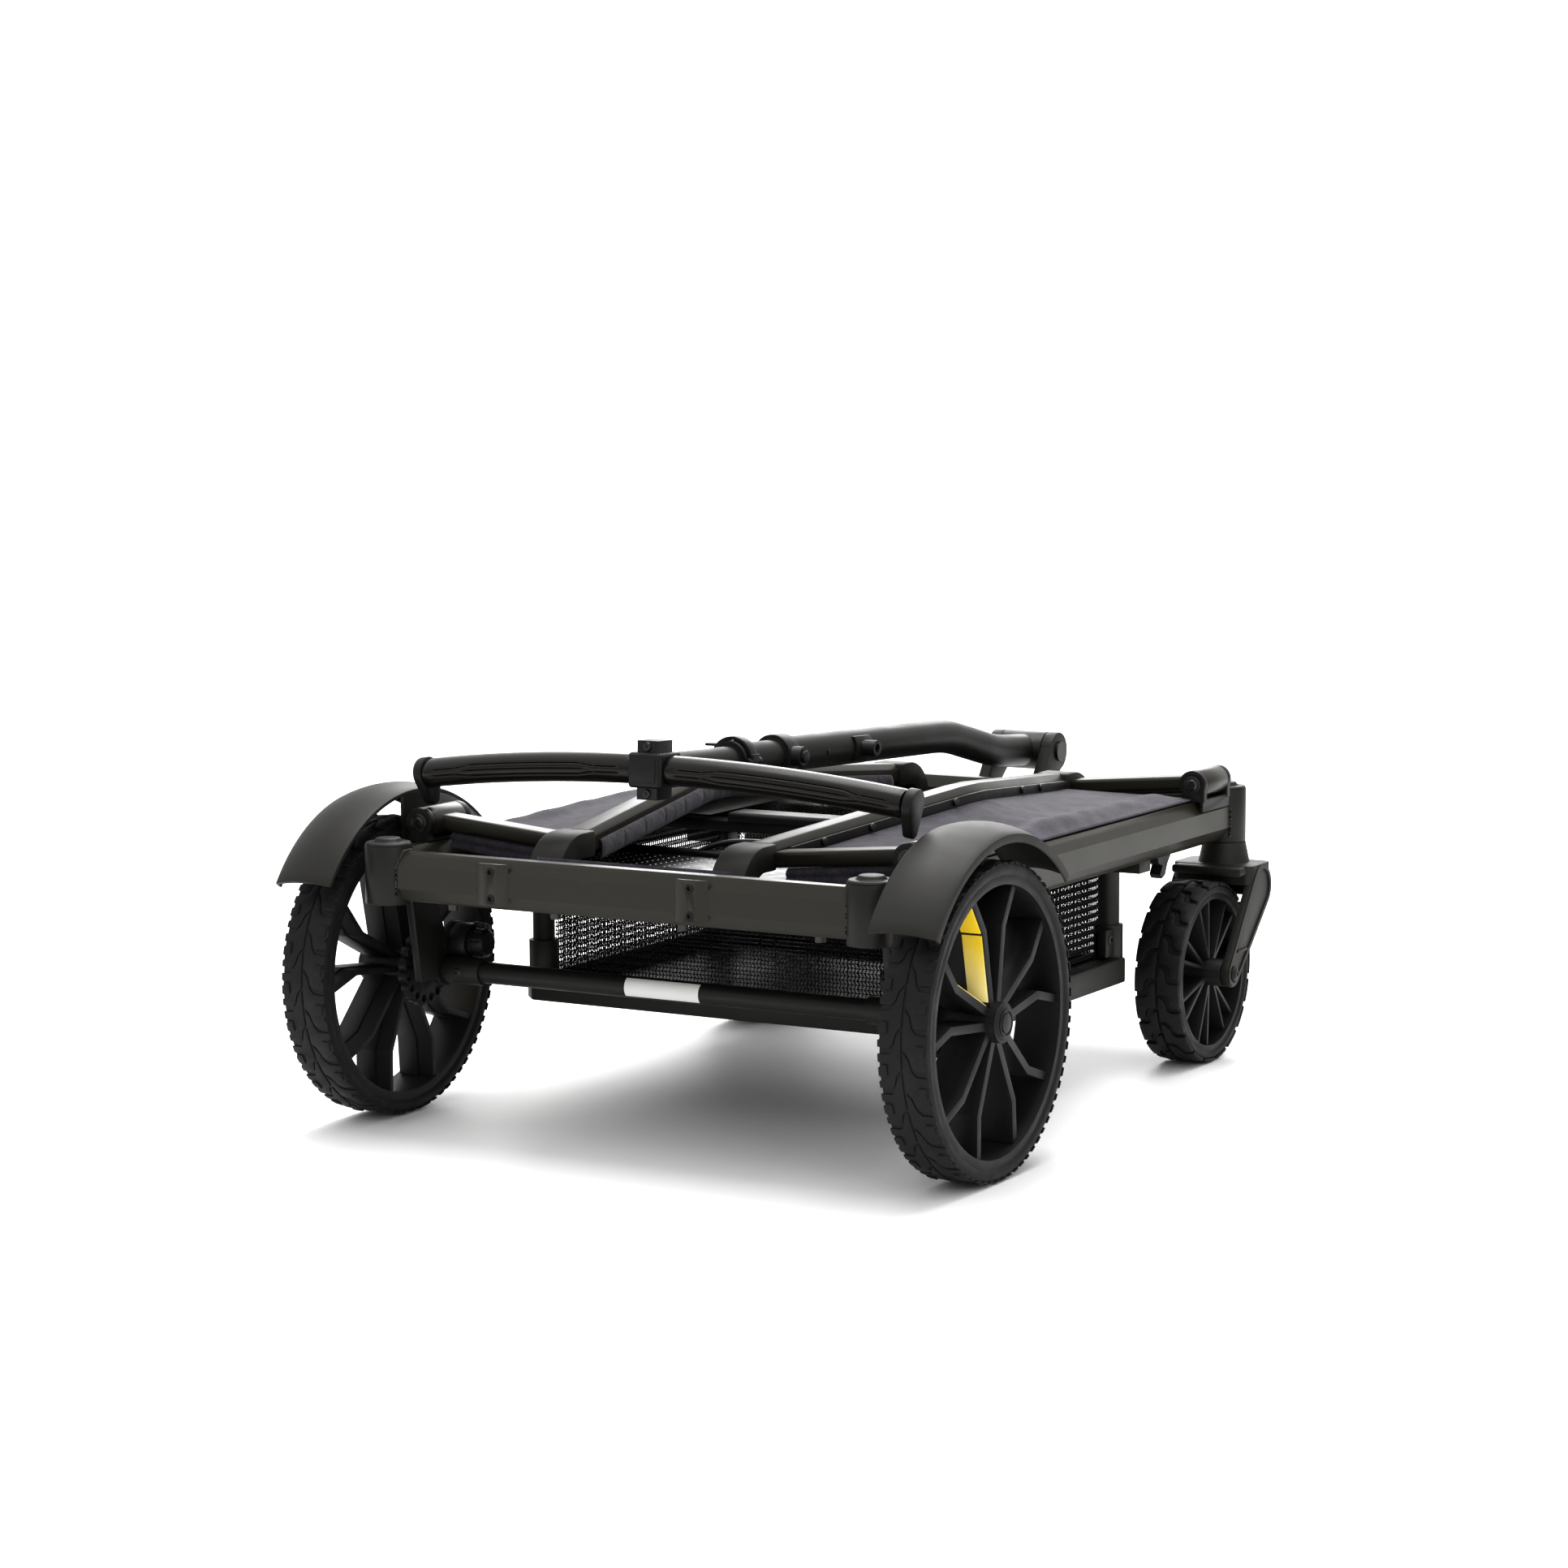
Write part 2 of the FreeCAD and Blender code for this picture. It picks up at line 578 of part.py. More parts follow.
def post(post_d):
    """A flat tube from the rail's corner to the hinge, with the hinge barrel and a thin hem tube."""
    _, barrel_span, _ = hinge_spans(post_d)
    run = HINGE_X - post_inner_x()
    lean = math.degrees(math.atan2(post_drop(), run))
    length = math.hypot(run, post_drop())
    hinge = V(HINGE_X, at(post_d), HINGE_Z)
    bar = box(HINGE_X - length, HINGE_X, at(post_d - POST_WIDTH / 2.0), at(post_d + POST_WIDTH / 2.0),
              HINGE_Z - POST_THICKNESS / 2.0, HINGE_Z + POST_THICKNESS / 2.0)
    long_edges = [edge for edge in bar.Edges if abs(edge.tangentAt(edge.FirstParameter).x) > 0.99]
    bar = bar.makeFillet(4.0, long_edges)
    bar = turned(bar, -lean, hinge, V(0, 1, 0))
    bar = bar.cut(box(0, post_inner_x(), at(0), at(FRAME_LENGTH), 0, 2 * HINGE_Z))
    barrel = rod(BARREL_R, V(HINGE_X, at(barrel_span[0]), HINGE_Z), V(HINGE_X, at(barrel_span[1]), HINGE_Z))
    bore = rod(HINGE_PIN_R + RUN_FIT, V(HINGE_X, at(barrel_span[0]) - THROUGH, HINGE_Z),
               V(HINGE_X, at(barrel_span[1]) + THROUGH, HINGE_Z))
    return fused([bar, barrel]).cut(bore)


def hem_tube(post_d):
    """The thin rod in the fabric's end hem, just below the post."""
    lean = post_drop() / (HINGE_X - post_inner_x())
    gap = POST_THICKNESS / 2.0 + HEM_TUBE_R + 1.5
    d = post_d - POST_WIDTH / 2.0 + 6.0
    x_in = post_inner_x() + 10.0
    x_out = HINGE_X - BARREL_R - 6.0
    ends = [V(x, at(d), HINGE_Z - (HINGE_X - x) * lean - gap) for x in (x_in, x_out)]
    return rod(HEM_TUBE_R, ends[0], ends[1])


def side_panel(ds):
    """The fabric between the top rail's channel and the side rail."""
    inner_side = WALL_RAIL_WIDTH / 2.0 + CHANNEL_THICKNESS
    inner_down = CHANNEL_DROP + CHANNEL_HEIGHT - PANEL_THICKNESS
    stretches = []
    for d0, d1 in zip(ds, ds[1:]):
        wires = []
        for d in (d0, d1):
            x, z = rail_centre(d)
            inner = V(x + inner_side, at(d), z - inner_down)
            outer = V(PANEL_OUTER_X, at(d), PANEL_OUTER_Z)
            lift = V(0, 0, PANEL_THICKNESS)
            wires.append(Part.makePolygon([inner, outer, outer + lift, inner + lift, inner]))
        stretches.append(Part.makeLoft(wires, True, True))
    return fused(stretches)


def build_wall(side_name, place):
    clear_start = POST_DS[0] + POST_WIDTH / 2.0 + 1.0
    clear_stop = WALL_RAIL_STOP - 2.0
    channel_ds = (clear_start, WALL_JOG_START, WALL_JOG_STOP, clear_stop)
    screws = []
    for reach in CHANNEL_SCREWS:
        d = WALL_RAIL_START + reach
        x, z = rail_centre(d)
        next_x, _ = rail_centre(d + 1.0)
        square = V(1.0, x - next_x, 0).normalize()
        start = V(x + WALL_RAIL_WIDTH / 2.0 + CHANNEL_THICKNESS, at(d), z - CHANNEL_DROP - SCREW_DROP)
        screws.append(rod(SCREW_HEAD_R, start, start + square * SCREW_HEAD_HEIGHT))
    pieces = {
        "top_rail": [top_rail()],
        "rail_channel": [rail_channel(channel_ds)],
        "rail_elbows": [elbow(ELBOW_REAR_END, WALL_RAIL_START, -1), elbow(ELBOW_FRONT_END, WALL_RAIL_STOP, 1)],
        "wall_posts": [post(d) for d in POST_DS] + [hem_tube(d) for d in POST_DS],
        "rail_screws": screws,
        "side_panel": [side_panel(channel_ds)],
    }
    return {side_name + "_" + name: [place(s) for s in shapes] for name, shapes in pieces.items()}


# ---------------------------------------------------------------- rear axle
def build_axle():
    z = WHEEL_R
    y = at(AXLE_D)
    stub_end = WHEEL_X + RIM_WIDTH / 2.0
    bar = tube(AXLE_TUBE_R, AXLE_TUBE_R - 1.5, V(-AXLE_TUBE_HALF, y, z), V(AXLE_TUBE_HALF, y, z))
    plug = rod(AXLE_TUBE_R - 1.5, V(AXLE_SLEEVE_IN, y, z), V(AXLE_TUBE_HALF, y, z))
    stub = fused([plug, rod(STUB_R, V(AXLE_SLEEVE_IN, y, z), V(stub_end, y, z))])
    sleeve = tube(AXLE_SLEEVE_R, AXLE_TUBE_R, V(AXLE_SLEEVE_IN, y, z), V(AXLE_SLEEVE_OUT, y, z))
    hanger_in = FRAME_HALF_WIDTH - 5.5
    top_d = (26.0, 62.0)
    foot_d = (AXLE_D - 40.0, AXLE_D + 11.0)
    foot_z = z - AXLE_SLEEVE_R / 2.0
    plate = prism([V(hanger_in, at(top_d[0]), RAIL_BOTTOM), V(hanger_in, at(top_d[1]), RAIL_BOTTOM),
                   V(hanger_in, at(foot_d[1]), foot_z), V(hanger_in, at(foot_d[0]), foot_z)],
                  V(AXLE_SLEEVE_OUT - 1.0 - hanger_in, 0, 0))
    collar = rod(AXLE_SLEEVE_R + 3.0, V(hanger_in, y, z), V(AXLE_SLEEVE_OUT - 1.0, y, z))
    above_rail = box(hanger_in - 1.0, AXLE_SLEEVE_OUT, at(0), at(FRAME_LENGTH), RAIL_BOTTOM, 2 * RAIL_TOP)
    bore = rod(AXLE_SLEEVE_R, V(hanger_in - THROUGH, y, z), V(AXLE_SLEEVE_OUT, y, z))
    pin_y, pin_z = polar(AXLE_D, z, BRAKE_PITCH_R, BRAKE_PIN_DEG)
    pin_hole = rod(BRAKE_PIN_R + RUN_FIT, V(hanger_in - THROUGH, pin_y, pin_z), V(AXLE_SLEEVE_OUT, pin_y, pin_z))
    lobe = taper_plate(AXLE_D, z, AXLE_SLEEVE_R + 3.0, pin_y - REAR_Y, pin_z, BRAKE_KNOB_R + 5.0, hanger_in,
                       AXLE_SLEEVE_OUT - 1.0)
    hanger = fused([plate, collar, lobe]).cut(above_rail).cut(bore).cut(pin_hole)
    label_half = 37.0
    label_x = -5.0
    label = tube(AXLE_TUBE_R + 0.4, AXLE_TUBE_R, V(label_x - label_half, y, z), V(label_x + label_half, y, z))
    label = label.common(box(label_x - label_half, label_x + label_half, y - 2 * AXLE_TUBE_R, y - 1.0,
                             z - 7.0, z + 8.5))
    return {
        "rear_axle_tube": [bar] + pair(stub),
        "axle_brackets": pair(sleeve) + pair(hanger),
        "axle_label": [label],
    }, hanger_in, pin_y, pin_z


def build_brakes(hanger_in, pin_y, pin_z):
    """A ribbed plunger each side whose pin drops into a hole of the wheel's brake disc."""
    housing_in = hanger_in - 18.0
    knob_r = BRAKE_KNOB_R
    housing = tube(knob_r + 4.0, knob_r + CLEAR, V(housing_in, pin_y, pin_z), V(hanger_in, pin_y, pin_z))
    guard = rod(AXLE_SLEEVE_R, V(housing_in - 1, at(AXLE_D), WHEEL_R), V(hanger_in + 1, at(AXLE_D), WHEEL_R))
    housing = housing.cut(guard)
    knob = rod(knob_r, V(hanger_in - 30.0, pin_y, pin_z), V(hanger_in - 13.0, pin_y, pin_z))
    crown = Part.makeCone(knob_r - 3.0, knob_r, 3.0, V(hanger_in - 33.0, pin_y, pin_z), V(1, 0, 0))
    pin = rod(BRAKE_PIN_R, V(hanger_in - 14.0, pin_y, pin_z), V(BRAKE_DISC_IN - 1.5, pin_y, pin_z))
    grooves = []
    for step in range(10):
        groove = rod(1.3, V(hanger_in - 34.0, pin_y, pin_z + knob_r), V(hanger_in - 22.0, pin_y, pin_z + knob_r))
        grooves.append(turned(groove, 36.0 * step, V(0, pin_y, pin_z), V(1, 0, 0)))
    plunger = fused([knob, crown, pin]).cut(Part.makeCompound(grooves))
    return {
        "brake_housings": pair(housing),
        "right_brake_plunger": [plunger],
        "left_brake_plunger": [mirrored(plunger)],
    }


def build_fenders():
    """A curved mudguard over each rear wheel, on a web that reaches in to the side rail."""
    y, z = at(AXLE_D), WHEEL_R
    middle = (FENDER_IN + FENDER_OUT) / 2.0
    crown = FENDER_R
    edge = FENDER_R - FENDER_EDGE_DROP
    inner_edge = FENDER_R - FENDER_EDGE_DROP / 2.0

    def arc(shift):
        return Part.Arc(V(FENDER_IN, y, z + inner_edge - shift), V(middle, y, z + crown - shift),
                        V(FENDER_OUT, y, z + edge - shift)).toShape()

    outer, inner = arc(0.0), arc(FENDER_THICKNESS)
    ends = [Part.makeLine(outer.valueAt(outer.LastParameter), inner.valueAt(inner.LastParameter)),
            Part.makeLine(inner.valueAt(inner.FirstParameter), outer.valueAt(outer.FirstParameter))]
    face = Part.Face(Part.Wire(Part.__sortEdges__([outer, ends[0], inner, ends[1]])))
    sweep = FENDER_REAR_DEG - FENDER_FRONT_DEG
    centre, axis = V(0, y, z), V(1, 0, 0)
    shell = turned(face, FENDER_FRONT_DEG - 90.0, centre, axis).revolve(centre, axis, sweep)
    web_out = FENDER_IN + 4.0
    rail_side = FRAME_HALF_WIDTH + RAIL_WIDTH / 2.0
    web = box(FENDER_IN, web_out, y - 20.0, y + 30.0, RAIL_BOTTOM + 14.0, z + inner_edge - FENDER_THICKNESS / 2.0)
    arm = box(rail_side, web_out, y - 18.0, y + 28.0, RAIL_BOTTOM + 14.0, RAIL_TOP - 14.0)
    return {"fenders": pair(fused([shell, web, arm]))}


# ---------------------------------------------------------------- rear wheels
def rib_bar(start, end, width, x0, x1):
    """A straight rib in the wheel's plane between two (y, z) points, with rounded ends."""
    half = width / 2.0
    run = V(0, end[0] - start[0], end[1] - start[1])
    across = V(1, 0, 0).cross(run).normalize() * half
    p, q = V(x0, start[0], start[1]), V(x0, end[0], end[1])
    body = prism([p - across, q - across, q + across, p + across], V(x1 - x0, 0, 0))
    return body.fuse(rod(half, p, p + V(x1 - x0, 0, 0)))


def petal_points(index, side):
    """Hub, knee and rim points of one rib, as (y, z)."""
    axis_deg = PETAL_AXIS_DEG + index * 360.0 / PETALS
    hub = polar(AXLE_D, WHEEL_R, HUB_R - 2.0, axis_deg + side * 14.0)
    knee = polar(AXLE_D, WHEEL_R, PETAL_KNEE_R, axis_deg + side * PETAL_KNEE_DEG)
    end = polar(AXLE_D, WHEEL_R, RIM_R - RIM_LIP, axis_deg + side * PETAL_END_DEG)
    return hub, knee, end


def accent_liner(petal):
    """A thin coloured liner inside one petal."""
    x1 = WHEEL_X + RIM_WIDTH / 2.0 - RIB_RECESS - 1.0
    x0 = x1 - RIB_DEPTH + 2.0
    strips = []
    for side in (1, -1):
        points = petal_points(petal, side)
        for start, end in zip(points, points[1:]):
            run = V(0, end[0] - start[0], end[1] - start[1])
            inward = V(1, 0, 0).cross(run).normalize() * (-side)
            offset = inward * (RIB_WIDTH / 2.0)
            p = V(x0, start[0], start[1]) + offset + run * 0.08
            q = V(x0, end[0], end[1]) + offset - run * 0.02
            strips.append(prism([p, q, q + inward * ACCENT_THICKNESS, p + inward * ACCENT_THICKNESS],
                                V(x1 - x0, 0, 0)))
    return strips


def rear_wheel(side_name, place, accent_petal):
    y, z = at(AXLE_D), WHEEL_R
    rim_in = WHEEL_X - RIM_WIDTH / 2.0
    rim_out = WHEEL_X + RIM_WIDTH / 2.0
    tyre_in = WHEEL_X - TYRE_WIDTH / 2.0
    tyre_out = WHEEL_X + TYRE_WIDTH / 2.0
    shoulder = 6.0
    hub_in = BRAKE_DISC_IN + BRAKE_DISC_THICKNESS
    bore = rod(STUB_R + RUN_FIT, V(BRAKE_DISC_IN - THROUGH, y, z), V(rim_out + THROUGH, y, z))
    hoop = tube(RIM_R, RIM_R - RIM_LIP, V(rim_in, y, z), V(rim_out, y, z))
    hub = rod(HUB_R, V(hub_in, y, z), V(rim_out + HUB_PROUD, y, z))
    rib_out = rim_out - RIB_RECESS
    pieces = [hoop, hub]
    for index in range(PETALS):
        for side in (1, -1):
            hub_point, knee, end = petal_points(index, side)
            for start, stop in ((hub_point, knee), (knee, end)):
                pieces.append(rib_bar(start, stop, RIB_WIDTH, rib_out - RIB_DEPTH, rib_out))
                pieces.append(rib_bar(start, stop, RIB_WIDTH - 2 * RIB_STEP, rim_in + RIB_STEP, rib_out))
    outside = tube(2 * RIM_R, RIM_R - 0.5, V(rim_in - 1, y, z), V(rim_out + 1, y, z))
    rim = fused(pieces).cut(bore).cut(outside).fuse(hoop).removeSplitter()
    tread = Part.makeCone(WHEEL_R - shoulder, WHEEL_R, shoulder, V(tyre_in, y, z), V(1, 0, 0))
    tread_out = Part.makeCone(WHEEL_R, WHEEL_R - shoulder, shoulder, V(tyre_out - shoulder, y, z), V(1, 0, 0))
    middle = rod(WHEEL_R, V(tyre_in + shoulder, y, z), V(tyre_out - shoulder, y, z))
    tyre = fused([tread, middle, tread_out]).cut(rod(RIM_R, V(tyre_in - 1, y, z), V(tyre_out + 1, y, z)))
    disc = rod(BRAKE_PITCH_R + 1.0, V(BRAKE_DISC_IN, y, z), V(hub_in, y, z))
    lobes = []
    holes = []
    for step in range(BRAKE_HOLES):
        hole_y, hole_z = polar(AXLE_D, z, BRAKE_PITCH_R, BRAKE_PIN_DEG + step * 360.0 / BRAKE_HOLES)
        lobes.append(rod(BRAKE_LOBE_R, V(BRAKE_DISC_IN, hole_y, hole_z), V(hub_in, hole_y, hole_z)))
        holes.append(rod(BRAKE_HOLE_R, V(BRAKE_DISC_IN - 1, hole_y, hole_z), V(hub_in + 1, hole_y, hole_z)))
    disc = fused([disc] + lobes).cut(Part.makeCompound(holes)).cut(bore)
    cap = Part.makeCone(HUB_CAP_R, HUB_CAP_R - 2.0, 2.0, V(rim_out + HUB_PROUD, y, z), V(1, 0, 0))
    pieces = {"rim": [rim], "tyre": [tyre], "accent_liner": accent_liner(accent_petal),
              "hub_fittings": [disc, cap]}
    return {side_name + "_wheel_" + name: [place(s) for s in shapes] for name, shapes in pieces.items()}


# ---------------------------------------------------------------- casters
def caster(side_name, place):
    x = FRAME_HALF_WIDTH
    y_pivot = at(FRAME_LENGTH)
    wheel_d = FRAME_LENGTH - CASTER_TRAIL
    y = at(wheel_d)
    z = CASTER_R
    crown_bottom = FORK_CROWN_TOP - FORK_CROWN_THICKNESS
    arm_in = FORK_OUT - FORK_ARM
    arms = []
    for start, stop in ((x + arm_in, x + FORK_OUT), (x - FORK_OUT, x - arm_in)):
        arm = taper_plate(wheel_d, z, FORK_TIP_R, FRAME_LENGTH - 4.0, FORK_CROWN_TOP - FORK_TOP_R, FORK_TOP_R,
                          start, stop)
        arms.append(arm)
    crown = box(x - FORK_OUT, x + FORK_OUT, at(FRAME_LENGTH - 30.0), at(FRAME_LENGTH + 20.0), crown_bottom,
                FORK_CROWN_TOP)
    upright = [edge for edge in crown.Edges if abs(edge.tangentAt(edge.FirstParameter).z) > 0.99]
    crown = crown.makeFillet(8.0, upright)
    flare = Part.makeCone(SLEEVE_R + 4.0, SLEEVE_R, SLEEVE_BOTTOM - CLEAR - FORK_CROWN_TOP, V(x, y_pivot, FORK_CROWN_TOP))
    stem = rod(SLEEVE_BORE_R - RUN_FIT, V(x, y_pivot, crown_bottom), V(x, y_pivot, STEM_TOP))
    bolt_hole = rod(CASTER_BOLT_R, V(x - FORK_OUT - THROUGH, y, z), V(x + FORK_OUT + THROUGH, y, z))
    fork = fused(arms + [crown, flare, stem]).cut(bolt_hole)
    head_r = 7.0
    bolt = fused([
        rod(CASTER_BOLT_R, V(x - FORK_OUT, y, z), V(x + FORK_OUT, y, z)),
        rod(head_r, V(x + FORK_OUT, y, z), V(x + FORK_OUT + 2.5, y, z)),
        rod(head_r, V(x - FORK_OUT - 2.5, y, z), V(x - FORK_OUT, y, z)),
    ])
    half = CASTER_WIDTH / 2.0
    rim_half = half - 2.0
    hub_half = arm_in - 1.0
    hoop = tube(CASTER_RIM_R, CASTER_RIM_R - 6.0, V(x - rim_half, y, z), V(x + rim_half, y, z))
    hub = rod(CASTER_HUB_R, V(x - hub_half, y, z), V(x + hub_half, y, z))
    spokes = []
    for step in range(CASTER_SPOKES):
        for lean in (-9.0, 9.0):
            angle = step * 360.0 / CASTER_SPOKES
            inner = polar(wheel_d, z, CASTER_HUB_R - 2.0, angle)
            outer = polar(wheel_d, z, CASTER_RIM_R - 4.0, angle + lean)
            run = V(0, outer[0] - inner[0], outer[1] - inner[1])
            across = V(1, 0, 0).cross(run).normalize() * 1.6
            p = V(x - rim_half + 3.0, inner[0], inner[1])
            q = V(x - rim_half + 3.0, outer[0], outer[1])
            spokes.append(prism([p - across, q - across, q + across, p + across], V(2 * rim_half - 6.0, 0, 0)))
    bore = rod(CASTER_BOLT_R + RUN_FIT, V(x - hub_half - THROUGH, y, z), V(x + hub_half + THROUGH, y, z))
    rim = fused([hoop, hub] + spokes).cut(bore)
    shoulder = 5.0
    tyre = fused([
        Part.makeCone(CASTER_R - shoulder, CASTER_R, shoulder, V(x - half, y, z), V(1, 0, 0)),
        rod(CASTER_R, V(x - half + shoulder, y, z), V(x + half - shoulder, y, z)),
        Part.makeCone(CASTER_R, CASTER_R - shoulder, shoulder, V(x + half - shoulder, y, z), V(1, 0, 0)),
    ]).cut(rod(CASTER_RIM_R, V(x - half - 1, y, z), V(x + half + 1, y, z)))
    pieces = {"fork": [fork, bolt], "rim": [rim], "tyre": [tyre]}
    return {side_name + "_caster_" + name: [place(s) for s in shapes] for name, shapes in pieces.items()}


# ---------------------------------------------------------------- footwell and floor
def well_ring(inset, bottom, top):
    """A rectangle with cut corners round the footwell, pushed up from bottom to top."""
    x = WELL_HALF_WIDTH - inset
    y0, y1 = at(WELL_REAR + inset), at(WELL_FRONT - inset)
    cut = WELL_CHAMFER
    points = [V(-x + cut, y0, bottom), V(x - cut, y0, bottom), V(x, y0 + cut, bottom), V(x, y1 - cut, bottom),
              V(x - cut, y1, bottom), V(-x + cut, y1, bottom), V(-x, y1 - cut, bottom), V(-x, y0 + cut, bottom)]
    return prism(points, V(0, 0, top - bottom))


def build_footwell():
    bar_top = WELL_BOTTOM + WELL_BAR_HEIGHT
    lower = well_ring(0, WELL_BOTTOM, bar_top).cut(well_ring(WELL_BAR_WIDTH, WELL_BOTTOM - 1, bar_top + 1))
    legs = []
    for side in (1, -1):
        for d in (WELL_REAR + SOCKET_R + 3.0, WELL_FRONT - SOCKET_R - 3.0):
            x, y = side * LEG_X, at(d)
            socket = rod(SOCKET_R, V(x, y, WELL_BOTTOM + 3.0), V(x, y, SOCKET_TOP))
            leg = rod(LEG_R, V(x, y, SOCKET_TOP - 10.0), V(x, y, RAIL_BOTTOM - 5.0))
            head_out = side * (FRAME_HALF_WIDTH + 5.0)
            head_in = side * (LEG_X - LEG_R)
            head = box(min(head_in, head_out), max(head_in, head_out), y - 12.0, y + 12.0, RAIL_BOTTOM - 10.0,
                       RAIL_BOTTOM)
            legs.append(fused([socket, leg, head]).cut(lower))
    gap = 0.5
    outer = well_ring(WELL_BAR_WIDTH + gap, WELL_BOTTOM + 4.0, MESH_TOP)
    inner = well_ring(WELL_BAR_WIDTH + gap + MESH_WALL, WELL_BOTTOM + 4.0 + MESH_WALL, MESH_TOP + 1)
    basket = outer.cut(inner)
    for leg in legs:
        near = leg.BoundBox
        basket = basket.cut(box(near.XMin - gap, near.XMax + gap, near.YMin - gap, near.YMax + gap, 0, RAIL_TOP))
    return {"footwell_frame": [lower], "footwell_legs": legs, "footwell_mesh": [basket]}


def build_floor():
    bottom = FLOOR_TOP - FLOOR_THICKNESS
    rear_start = RAIL_WIDTH / 2.0 + 1.0
    front_stop = FRAME_LENGTH - RAIL_WIDTH / 2.0 - 1.0
    panels = []
    for start, stop, lip_d in ((rear_start, FLOOR_BOARD_END, FLOOR_BOARD_END - LIP_R),
                               (FLOOR_FRONT_START, front_stop, FLOOR_FRONT_START + LIP_R)):
        sheet = box(-FLOOR_HALF_WIDTH, FLOOR_HALF_WIDTH, at(start), at(stop), bottom, FLOOR_TOP)
        lip = rod(LIP_R, V(-FLOOR_HALF_WIDTH, at(lip_d), FLOOR_TOP + 1.0), V(FLOOR_HALF_WIDTH, at(lip_d), FLOOR_TOP + 1.0))
        lip = lip.cut(box(-FLOOR_HALF_WIDTH, FLOOR_HALF_WIDTH, at(start) - 20, at(stop) + 20, 0, bottom))
        corners = []
        corner = 24.0
        for side in (1, -1):
            for d in (0.0, FRAME_LENGTH):
                y = at(d)
                corners.append(box(side * FLOOR_HALF_WIDTH - corner, side * FLOOR_HALF_WIDTH + corner,
                                   y - corner, y + corner, 0, RAIL_TOP))
        panels.append(fused([sheet, lip]).cut(Part.makeCompound(corners)))
    reach = FRAME_HALF_WIDTH - RAIL_WIDTH / 2.0
    y = at(CROSS_BAR_D)
    bar = box(-reach, reach, y - CROSS_BAR_WIDTH / 2.0, y + CROSS_BAR_WIDTH / 2.0,
              CROSS_BAR_TOP - CROSS_BAR_HEIGHT, CROSS_BAR_TOP)
    half = RAIL_WIDTH / 2.0
    inner_face = rail_outline(half, RAIL_BOTTOM, RAIL_TOP, RAIL_CHAMFER_ACROSS, RAIL_CHAMFER_UP)
    for side in (1, -1):
        outline = [V(side * FRAME_HALF_WIDTH + across, y - CROSS_BAR_WIDTH, z) for across, z in inner_face]
        bar = bar.cut(prism(outline, V(0, 2 * CROSS_BAR_WIDTH, 0)))
    grip = box(-GRIP_PLATE_HALF, GRIP_PLATE_HALF, y - 15.0, y + 15.0, CROSS_BAR_TOP, GRIP_PLATE_TOP)
    grip = grip.makeFillet(4.0, [e for e in grip.Edges if e.CenterOfMass.z > GRIP_PLATE_TOP - 0.1])
    return {"floor_panels": panels, "fold_cross_bar": [bar], "fold_grip_plate": [grip]}


# ---------------------------------------------------------------- handle
def tube_z(d):
    """Height of the handle tube's axis along its straight stretch."""
    return STRAIGHT_Z + TUBE_SLOPE * (STRAIGHT_D - d)


def tube_point(d):
    return V(0, at(d), tube_z(d))


def on_tube(shape, d):
    """Moves a shape drawn round the Y axis at the origin on to the handle tube at d."""
    copy = shape.copy()
    copy.rotate(V(0, 0, 0), V(1, 0, 0), -math.degrees(math.atan(TUBE_SLOPE)))
    copy.translate(tube_point(d))
    return copy


def ring(outer, inner, length):
    """A ring round the Y axis, centred on the origin."""
    return tube(outer, inner, V(0, -length / 2.0, 0), V(0, length / 2.0, 0))


def build_hinge_base():
    """Two cheeks that carry the handle's barrel in front of the front rail, and their pin."""
    rail_face = FRAME_LENGTH + RAIL_WIDTH / 2.0
    cheek_in = HINGE_BARREL_HALF + CLEAR
    cheek_out = cheek_in + CHEEK_THICKNESS
    y, z = at(HANDLE_D), HANDLE_Z
    arm = [V(cheek_in, at(rail_face), RAIL_BOTTOM + RAIL_CHAMFER_UP), V(cheek_in, at(rail_face), RAIL_TOP - 4.0),
           V(cheek_in, y - HINGE_BARREL_R * 0.6, z + HINGE_BARREL_R * 0.8),
           V(cheek_in, y + HINGE_BARREL_R * 0.75, z - HINGE_BARREL_R * 0.6)]
    cheek = fused([rod(HINGE_BARREL_R, V(cheek_in, y, z), V(cheek_out, y, z)), prism(arm, V(CHEEK_THICKNESS, 0, 0))])
    web = box(-cheek_out, cheek_out, at(rail_face), at(rail_face + 8.0), RAIL_BOTTOM + RAIL_CHAMFER_UP,
              RAIL_TOP - RAIL_CHAMFER_UP)
    base = fused([cheek, mirrored(cheek), web])
    base = base.cut(rod(HANDLE_PIN_R, V(-cheek_out - THROUGH, y, z), V(cheek_out + THROUGH, y, z)))
    pin = rod(HANDLE_PIN_R, V(-cheek_out, y, z), V(cheek_out, y, z))
    head = rod(HANDLE_PIN_R + 5.0, V(cheek_out, y, z), V(cheek_out + 3.0, y, z))
    return base, fused([pin, head, mirrored(head)])


